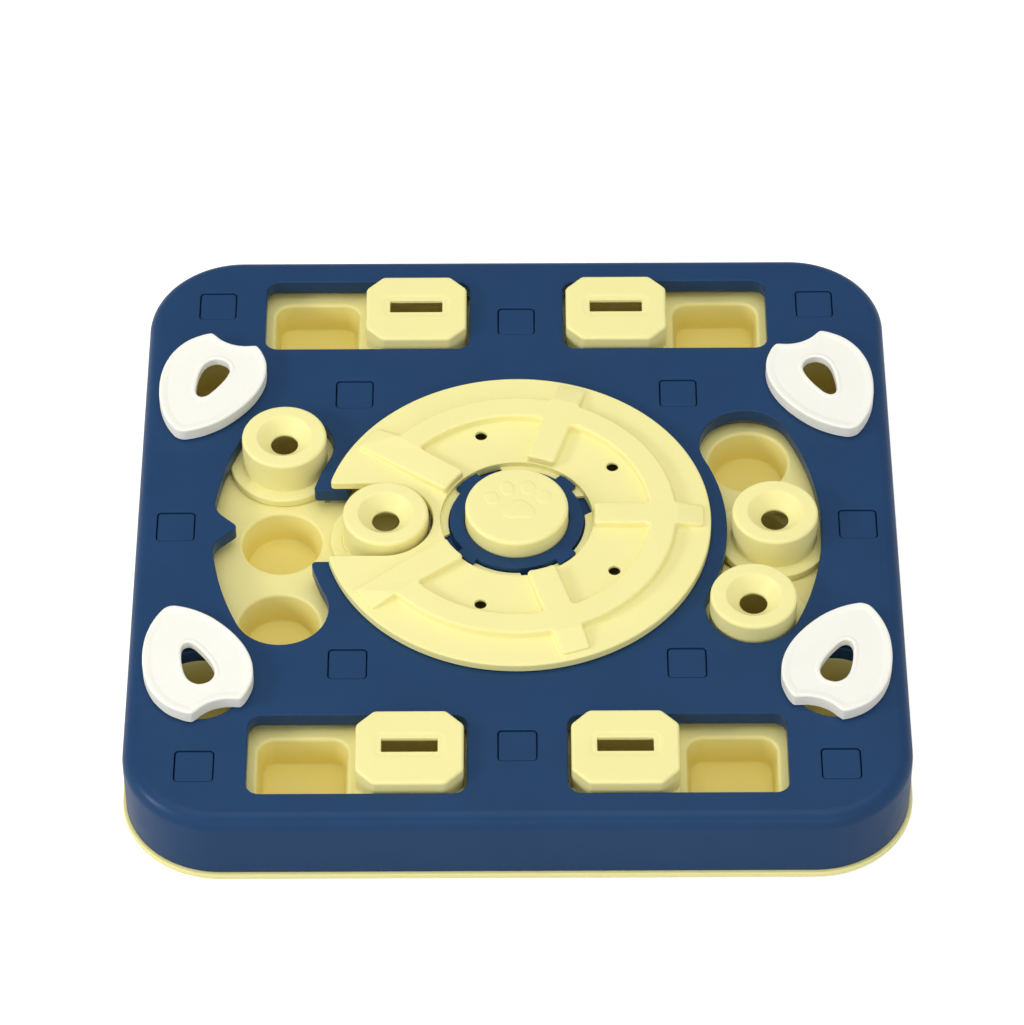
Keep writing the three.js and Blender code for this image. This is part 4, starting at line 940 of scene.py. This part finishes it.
def lids():
    eye = mirrored(EYE_SHARES, 4)
    for name, sx, sy in QUADRANTS:
        shell = Shell()
        tip, along = lid_frame(sx, sy)
        turn = math.degrees(math.atan2(along[1], along[0]))
        outline = lambda d: turned(lid_outline(d), turn, *tip)
        hole = mitred(turned(eye, turn, *tip))
        rows = [(LID_BOTTOM, -0.3), (LID_BOTTOM + 0.3, 0)]
        rows += convex(LID_TOP, 0.8, steps=5)[::-1]
        rows += [(LID_TOP - drop, -spread) for drop, spread in LID_DISH]
        under, top = shell.tube(outline, rows)
        rim_rows = [
            (LID_TOP - 0.38, 2.2),
            (LID_TOP - 0.3, 1.7),
            (LID_TOP - 0.08, 1.3),
            (LID_TOP - 0.05, 0.9),
            (LID_TOP - 0.15, 0.45),
            (LID_TOP - 0.4, 0.12),
            (LID_TOP - 0.75, 0),
            (LID_TOP - 3.3, 0),
            (LID_TOP - 3.6, 0.3),
        ]
        first, last = shell.tube(hole, rim_rows)
        shell.cap(top, [first])
        hollow = [(LID_BOTTOM, -2.1), (LID_TOP - 4.0, -2.4), (LID_TOP - 3.6, -2.8)]
        mouth, ceiling = shell.tube(outline, hollow)
        shell.cap(under, [mouth])
        px, py = tip + along * 8.5
        pad, rest = shell.tube(circle(4.3, 32, px, py), [(LID_TOP - 3.6, 0), (LID_BOTTOM, 0)])
        pin, foot = shell.tube(circle(3.2, 32, px, py), [(LID_BOTTOM, 0), (28.8, 0)])
        drill, end = shell.tube(circle(1.5, 16, px, py), [(28.8, 0), (32.7, 0)])
        shell.cap(rest, [pin])
        shell.cap(foot, [drill])
        shell.cap(end)
        shell.cap(ceiling, [last, pad])
        dress(shell, "lid_" + name, "lid_" + name)


# Disc and hub


def spoke_step(index, count=5):
    return index * 360 / count


SPOKE_HALF = (5.25, 5.6, 6.0)


def spoke_side(r, offset, on_ring, angle):
    """A point on a spoke's side, at a ring's radius or at a distance along the spoke."""
    along = math.sqrt(r * r - offset * offset) if on_ring else r
    return turned([(along, offset)], angle)[0]


def disc_pattern():
    """The raised ring and spokes as one outline."""
    inner, outer, foot, tip = 50.3, 60.3, 29.35, 70.6
    outside, inside = [], []
    for k in range(-2, 3):
        half = SPOKE_HALF[abs(k)]
        angle = spoke_step(k)
        at = lambda r, s: spoke_side(r, s * half, r in (inner, outer), angle)
        reach = math.degrees(math.asin(half / outer))
        if k > -2:
            last = SPOKE_HALF[abs(k - 1)]
            before = spoke_step(k - 1) + math.degrees(math.asin(last / outer))
            outside += list(arc(0, 0, outer, before, angle - reach, 26)[1:-1])
            outside.append(at(outer, -1))
        outside += [at(tip, -1), at(tip, 1)]
        if k < 2:
            outside.append(at(outer, 1))
    for k in range(2, -3, -1):
        half = SPOKE_HALF[abs(k)]
        angle = spoke_step(k)
        at = lambda r, s: spoke_side(r, s * half, r in (inner, outer), angle)
        reach_in = math.degrees(math.asin(half / inner))
        if k < 2:
            last = SPOKE_HALF[abs(k + 1)]
            before = spoke_step(k + 1) - math.degrees(math.asin(last / inner))
            inside += list(arc(0, 0, inner, before, angle + reach_in, 20)[1:-1])
            inside.append(at(inner, 1))
        half_turn = math.degrees(math.asin(half / foot))
        inside += list(arc(0, 0, foot, angle + half_turn, angle - half_turn, 3))
        if k > -2:
            inside.append(at(inner, -1))
    return np.array(outside + inside)


def soften(points, radius, sharp=35.0):
    """Rounds an outline's sharp corners by a small radius."""
    corners = []
    n = len(points)
    for i in range(n):
        a = points[i] - points[i - 1]
        b = points[(i + 1) % n] - points[i]
        turn = abs(math.degrees(math.atan2(a[0] * b[1] - a[1] * b[0], float(a @ b))))
        corners.append((*points[i], radius if turn > sharp else 0))
    return round_corners(corners, 4)


def disc_outline():
    radius, half, nx, edge = 73.4, 18.4, 50.0, 1.5
    cy = half + edge
    cx = math.sqrt((radius - edge) ** 2 - cy**2)
    touch = math.degrees(math.atan2(cy, -cx))
    upper = arc(-cx, cy, edge, touch, 270, 6)
    flip = np.array((1, -1))
    return np.vstack(
        [
            arc(0, 0, radius, -touch, touch, 200),
            upper,
            arc(-nx, 0, half, 90, -90, 44),
            (upper * flip)[::-1],
        ]
    )


def disc():
    shell = Shell()
    outline = mitred(disc_outline())
    rows = convex(DISC_TOP, 0.7, steps=4) + [(DISC_BOTTOM + 0.3, 0), (DISC_BOTTOM, -0.3)]
    top, bottom = shell.tube(outline, rows)
    plan = mitred(soften(disc_pattern(), 1.6))
    foot = [(DISC_TOP, 1.1), (DISC_TOP + 0.1, 0.68), (DISC_TOP + 0.32, 0.32), (DISC_TOP + 0.68, 0.1)]
    crest = convex(PATTERN_TOP, 1.0, steps=6)[::-1]
    rings = []
    for z, d in foot + crest:
        points = plan(d)
        reach = np.hypot(*points.T)
        points = points * np.maximum(1, 29.3 / reach)[:, None]
        # The spokes slope down from the ring to their tips
        slope = 1 - 0.6 * np.clip((reach - 61.5) / 8.5, 0, 1)
        rings.append(shell.ring(points, DISC_TOP + (z - DISC_TOP) * slope))
    for a, b in zip(rings, rings[1:]):
        shell.band(a, b)
    low, high = rings[0], rings[-1]
    shell.cap(high)
    holes, through = [low], []
    for angle in (36, 107.5, -36, -107.5):
        a = math.radians(angle)
        place = 45.1 * math.cos(a), 45.1 * math.sin(a)
        scent = circle(2.3, 28, *place)
        first, last = shell.tube(
            scent, convex(DISC_TOP, 0.3, steps=3, side=1) + [(DISC_TOP - 1.2, 0)]
        )
        well = circle(5.5, 32, *place)
        ceiling, mouth = shell.tube(well, [(DISC_TOP - 1.2, -0.4), (DISC_TOP - 1.6, 0), (DISC_BOTTOM, 0)])
        shell.cap(ceiling, [last])
        holes.append(first)
        through.append(mouth)
    lip_bottom, lip_top = DISC_BOTTOM + 0.2, DISC_BOTTOM + 1.4
    bore = circle(28.9, 144)
    first, middle = shell.tube(bore, convex(DISC_TOP, 0.2, steps=4, side=1) + [(lip_top, 0)])
    holes.append(first)
    angles = np.linspace(0, 360, 145)[:-1]
    lip = np.full(144, 25.9)
    for gap, half in ((18.3, 10.1), (111, 10.8), (203, 10.1), (283.5, 10.1)):
        lip[np.abs((angles - gap + 180) % 360 - 180) < half] = 28.88
    at = lambda d: np.c_[
        (lip + d) * np.cos(np.radians(angles)), (lip + d) * np.sin(np.radians(angles))
    ]
    inner, under = shell.tube(at, [(lip_top, 0), (lip_bottom, 0)])
    shell.band(middle, inner)
    _, end = shell.tube(bore, [(lip_bottom, 0), (DISC_BOTTOM, 0)])
    shell.band(under, [i - 144 for i in end])
    through.append(end)
    shell.cap(top, holes)
    shell.cap(bottom, through)
    dress(shell, "disc", "disc")


def hub():
    shell = Shell()
    profile = [
        (2, DECK_TOP, 0),
        (27.7, DECK_TOP, 0.3),
        (27.7, HUB_TOP - 2.4, 0.5),
        (32.6, HUB_TOP - 2.4, 0.3),
        (32.6, HUB_TOP, 0.4),
        (22.6, HUB_TOP, 0.3),
        (22.6, DECK_TOP + 2, 0.8),
        (2, DECK_TOP + 2, 0),
    ]
    lathe(shell, fillet(profile), 120)
    dress(shell, "hub_column", "housing")


def lock_ring():
    shell = Shell()
    count = 360
    angles = np.arange(count) * 360 / count
    wide = np.full(count, 25.2)
    for tab, half in ((45, 8.8), (134, 12), (225, 8.8), (314, 8.8)):
        off = (angles - tab + 180) % 360 - 180
        wide[np.abs(off) < half] = 28.0
    spin = np.c_[np.cos(np.radians(angles)), np.sin(np.radians(angles))]
    tabbed = lambda d: spin * (wide + d)[:, None]
    plain = circle(25.2, count)
    under = 33.5
    edge = convex(RING_TOP, 0.35, steps=3)
    crown, shoulder = shell.tube(tabbed, edge + [(under, 0)])
    neck, foot = shell.tube(plain, [(under, 0), (HUB_TOP, 0)])
    shell.band(shoulder, neck)
    bore = circle(19.85, count)
    mouth, bottom = shell.tube(bore, convex(RING_TOP, 0.35, steps=3, side=1) + [(HUB_TOP, 0)])
    shell.band(crown, mouth)
    shell.band(foot, bottom)
    dress(shell, "lock_ring", "housing")


PAW_RISE = 0.2


def paw(x, y):
    """Height of the paw print on the button, in millimetres."""
    toes = [
        (-9.4, 3.8, 2.5, 3.0, 18),
        (-3.6, 8.7, 2.5, 3.3, 6),
        (4.4, 8.9, 2.5, 3.3, -6),
        (10.4, 4.2, 2.5, 3.0, -18),
    ]
    field = np.full(x.shape, -1e9)
    for cx, cy, rx, ry, lean in toes:
        a = math.radians(lean)
        u = (x - cx) * math.cos(a) + (y - cy) * math.sin(a)
        v = -(x - cx) * math.sin(a) + (y - cy) * math.cos(a)
        field = np.maximum(field, (1 - np.hypot(u / rx, v / ry)) * rx)
    px, py = x - 0.9, y + 1.9
    pad = np.full(x.shape, 0.0)
    for cx, cy, r in ((0, 1.6, 4.0), (-3.4, -1.9, 3.3), (3.4, -1.9, 3.3)):
        pad += np.exp(-((px - cx) ** 2 + (py - cy) ** 2) / r**2)
    field = np.maximum(field, (pad - 0.62) * 3.2)
    t = np.clip((field + 0.6) / 1.2, 0, 1)
    return PAW_RISE * t * t * (3 - 2 * t)


def button():
    shell = Shell()
    count = 256
    inner_z = 40.5
    outside = fillet(
        [
            (0, BUTTON_TOP, 0),
            (19.4, BUTTON_TOP, 1.4),
            (19.5, 31.2, 0.2),
            (22.0, 31.2, 0.2),
            (22.0, 29.2, 0.2),
            (17.3, 29.2, 0.2),
            (17.3, inner_z, 1.0),
            (0, inner_z, 0),
        ],
        8,
    )[1:-1]
    flat = outside[0][0]
    radii = np.linspace(flat, 0.25, 66)[1:]
    rings = []
    for r in radii[::-1]:
        plan = circle(r, count)(0)
        rings.append(shell.ring(plan, BUTTON_TOP - PAW_RISE + paw(plan[:, 0], plan[:, 1])))
    centre = len(shell.points)
    shell.points.append((0, 0, BUTTON_TOP - PAW_RISE + float(paw(np.zeros(1), np.zeros(1))[0])))
    n = count
    shell.faces += [(centre, rings[0][i], rings[0][(i + 1) % n]) for i in range(n)]
    for r, z in outside:
        drop = PAW_RISE if z > inner_z else 0
        rings.append(shell.ring(circle(r, count)(0), z - drop))
    for a, b in zip(rings, rings[1:]):
        shell.band(a, b)
    shell.cap(rings[-1])
    dress(shell, "button", "button", 40)


def bellows():
    shell = Shell()
    low, high, folds = DECK_TOP + 2, 40.5, 3
    fold = (high - low) / folds
    outer, inner = [], []
    for k in range(2 * folds + 1):
        r = 13.0 if k % 2 else 10.0
        z = low + k * fold / 2
        outer.append((r, z, 0.6))
        if k < 2 * folds:
            inner.append((r - 1.2, z, 0.6))
    profile = [(0, high - 1.2, 0), (8.8, high - 1.2, 0.3), *inner[::-1][:-1]]
    profile += [(8.8, low, 0), (10.0, low, 0), *outer[1:-1], (10.0, high, 0.3), (0, high, 0)]
    lathe(shell, fillet(profile), 64)
    obj = dress(shell, "squeaker_bellows", "housing", 50)
    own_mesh(obj)


top_cover()
plugs()
slot_trays()
channel_trays()
base_tray()
feet()
sliding_blocks()
pucks()
lids()
disc()
hub()
lock_ring()
button()
bellows()

# Floor, light and camera


def floor():
    mesh = bpy.data.meshes.new("floor")
    reach = 4.0
    mesh.from_pydata(
        [(-reach, -reach, 0), (reach, -reach, 0), (reach, reach, 0), (-reach, reach, 0)],
        [],
        [(0, 1, 2, 3)],
    )
    obj = bpy.data.objects.new("floor", mesh)
    bpy.context.scene.collection.objects.link(obj)
    mat = bpy.data.materials.new("white floor")
    mat.use_nodes = True
    nodes, links = mat.node_tree.nodes, mat.node_tree.links
    shader = nodes["Principled BSDF"]
    shader.inputs["Roughness"].default_value = 0.8
    shader.inputs["Specular IOR Level"].default_value = 0.1
    where = nodes.new("ShaderNodeTexCoord")
    noise = nodes.new("ShaderNodeTexNoise")
    noise.inputs["Scale"].default_value = 3
    links.new(where.outputs["Object"], noise.inputs["Vector"])
    tone = nodes.new("ShaderNodeValToRGB")
    tone.color_ramp.elements[0].color = (0.80, 0.80, 0.80, 1)
    tone.color_ramp.elements[1].color = (0.82, 0.82, 0.82, 1)
    links.new(noise.outputs["Fac"], tone.inputs["Fac"])
    links.new(tone.outputs["Color"], shader.inputs["Base Color"])
    glow = nodes.new("ShaderNodeEmission")
    path = nodes.new("ShaderNodeLightPath")
    glow.inputs["Color"].default_value = (1, 1, 1, 1)
    strength = nodes.new("ShaderNodeMath")
    strength.operation = "MULTIPLY"
    strength.inputs[1].default_value = 0.5
    links.new(path.outputs["Is Camera Ray"], strength.inputs[0])
    links.new(strength.outputs[0], glow.inputs["Strength"])
    add = nodes.new("ShaderNodeAddShader")
    links.new(shader.outputs["BSDF"], add.inputs[0])
    links.new(glow.outputs["Emission"], add.inputs[1])
    links.new(add.outputs["Shader"], nodes["Material Output"].inputs["Surface"])
    mesh.materials.append(mat)


def world():
    """A pale studio: bright overhead and in front, dimmer behind, white to the camera."""
    w = bpy.data.worlds.new("studio")
    bpy.context.scene.world = w
    w.use_nodes = True
    nodes, links = w.node_tree.nodes, w.node_tree.links
    back = nodes["Background"]
    where = nodes.new("ShaderNodeTexCoord")
    split = nodes.new("ShaderNodeSeparateXYZ")
    links.new(where.outputs["Generated"], split.inputs["Vector"])
    tone = nodes.new("ShaderNodeValToRGB")
    tone.color_ramp.elements[0].position = 0.0
    tone.color_ramp.elements[0].color = WORLD_FRONT
    tone.color_ramp.elements[1].position = 1.0
    tone.color_ramp.elements[1].color = WORLD_BACK
    depth = nodes.new("ShaderNodeMapRange")
    depth.inputs["From Min"].default_value = -1
    depth.inputs["From Max"].default_value = 1
    links.new(split.outputs["Y"], depth.inputs["Value"])
    links.new(depth.outputs["Result"], tone.inputs["Fac"])
    path = nodes.new("ShaderNodeLightPath")
    mix = nodes.new("ShaderNodeMix")
    mix.data_type = "RGBA"
    links.new(tone.outputs["Color"], mix.inputs["A"])
    mix.inputs["B"].default_value = (1, 1, 1, 1)
    links.new(path.outputs["Is Camera Ray"], mix.inputs["Factor"])
    links.new(mix.outputs["Result"], back.inputs["Color"])
    back.inputs["Strength"].default_value = 1.0


def softbox(name, place, target, size, power):
    data = bpy.data.lights.new(name, "AREA")
    data.shape = "RECTANGLE"
    data.size, data.size_y = size
    data.energy = power
    obj = bpy.data.objects.new(name, data)
    obj.location = place
    aim = Vector(target) - Vector(place)
    obj.rotation_euler = aim.to_track_quat("-Z", "Y").to_euler()
    bpy.context.scene.collection.objects.link(obj)


def camera():
    data = bpy.data.cameras.new("camera")
    data.sensor_fit = "HORIZONTAL"
    data.sensor_width = 36
    data.lens = 174.63
    data.clip_end = 50
    obj = bpy.data.objects.new("camera", data)
    forward = Vector((-0.00193575, 0.67536484, -0.73748125)).normalized()
    right = forward.cross(Vector((0, 0, 1))).normalized()
    up = right.cross(forward)
    roll = math.radians(-0.358)
    right, up = (
        right * math.cos(roll) + up * math.sin(roll),
        up * math.cos(roll) - right * math.sin(roll),
    )
    turn = Matrix((right, up, -forward)).transposed().to_4x4()
    obj.matrix_world = Matrix.Translation((0.001845, -1.26531, 1.42018)) @ turn
    bpy.context.scene.collection.objects.link(obj)
    bpy.context.scene.camera = obj


WORLD_FRONT = (0.90, 0.90, 0.93, 1)
WORLD_BACK = (0.42, 0.42, 0.43, 1)
floor()
world()
softbox("key", (-1.54, -0.47, 0.85), (0, 0, 0), (0.36, 0.36), 9)
softbox("top", (0, 0.2, 2.0), (0, 0, 0), (1.8, 1.8), 11)
softbox("fill", (0.3, -2.2, 1.3), (0, 0, 0), (2.0, 1.2), 4.3)
camera()
bpy.context.scene.view_settings.view_transform = "Standard"
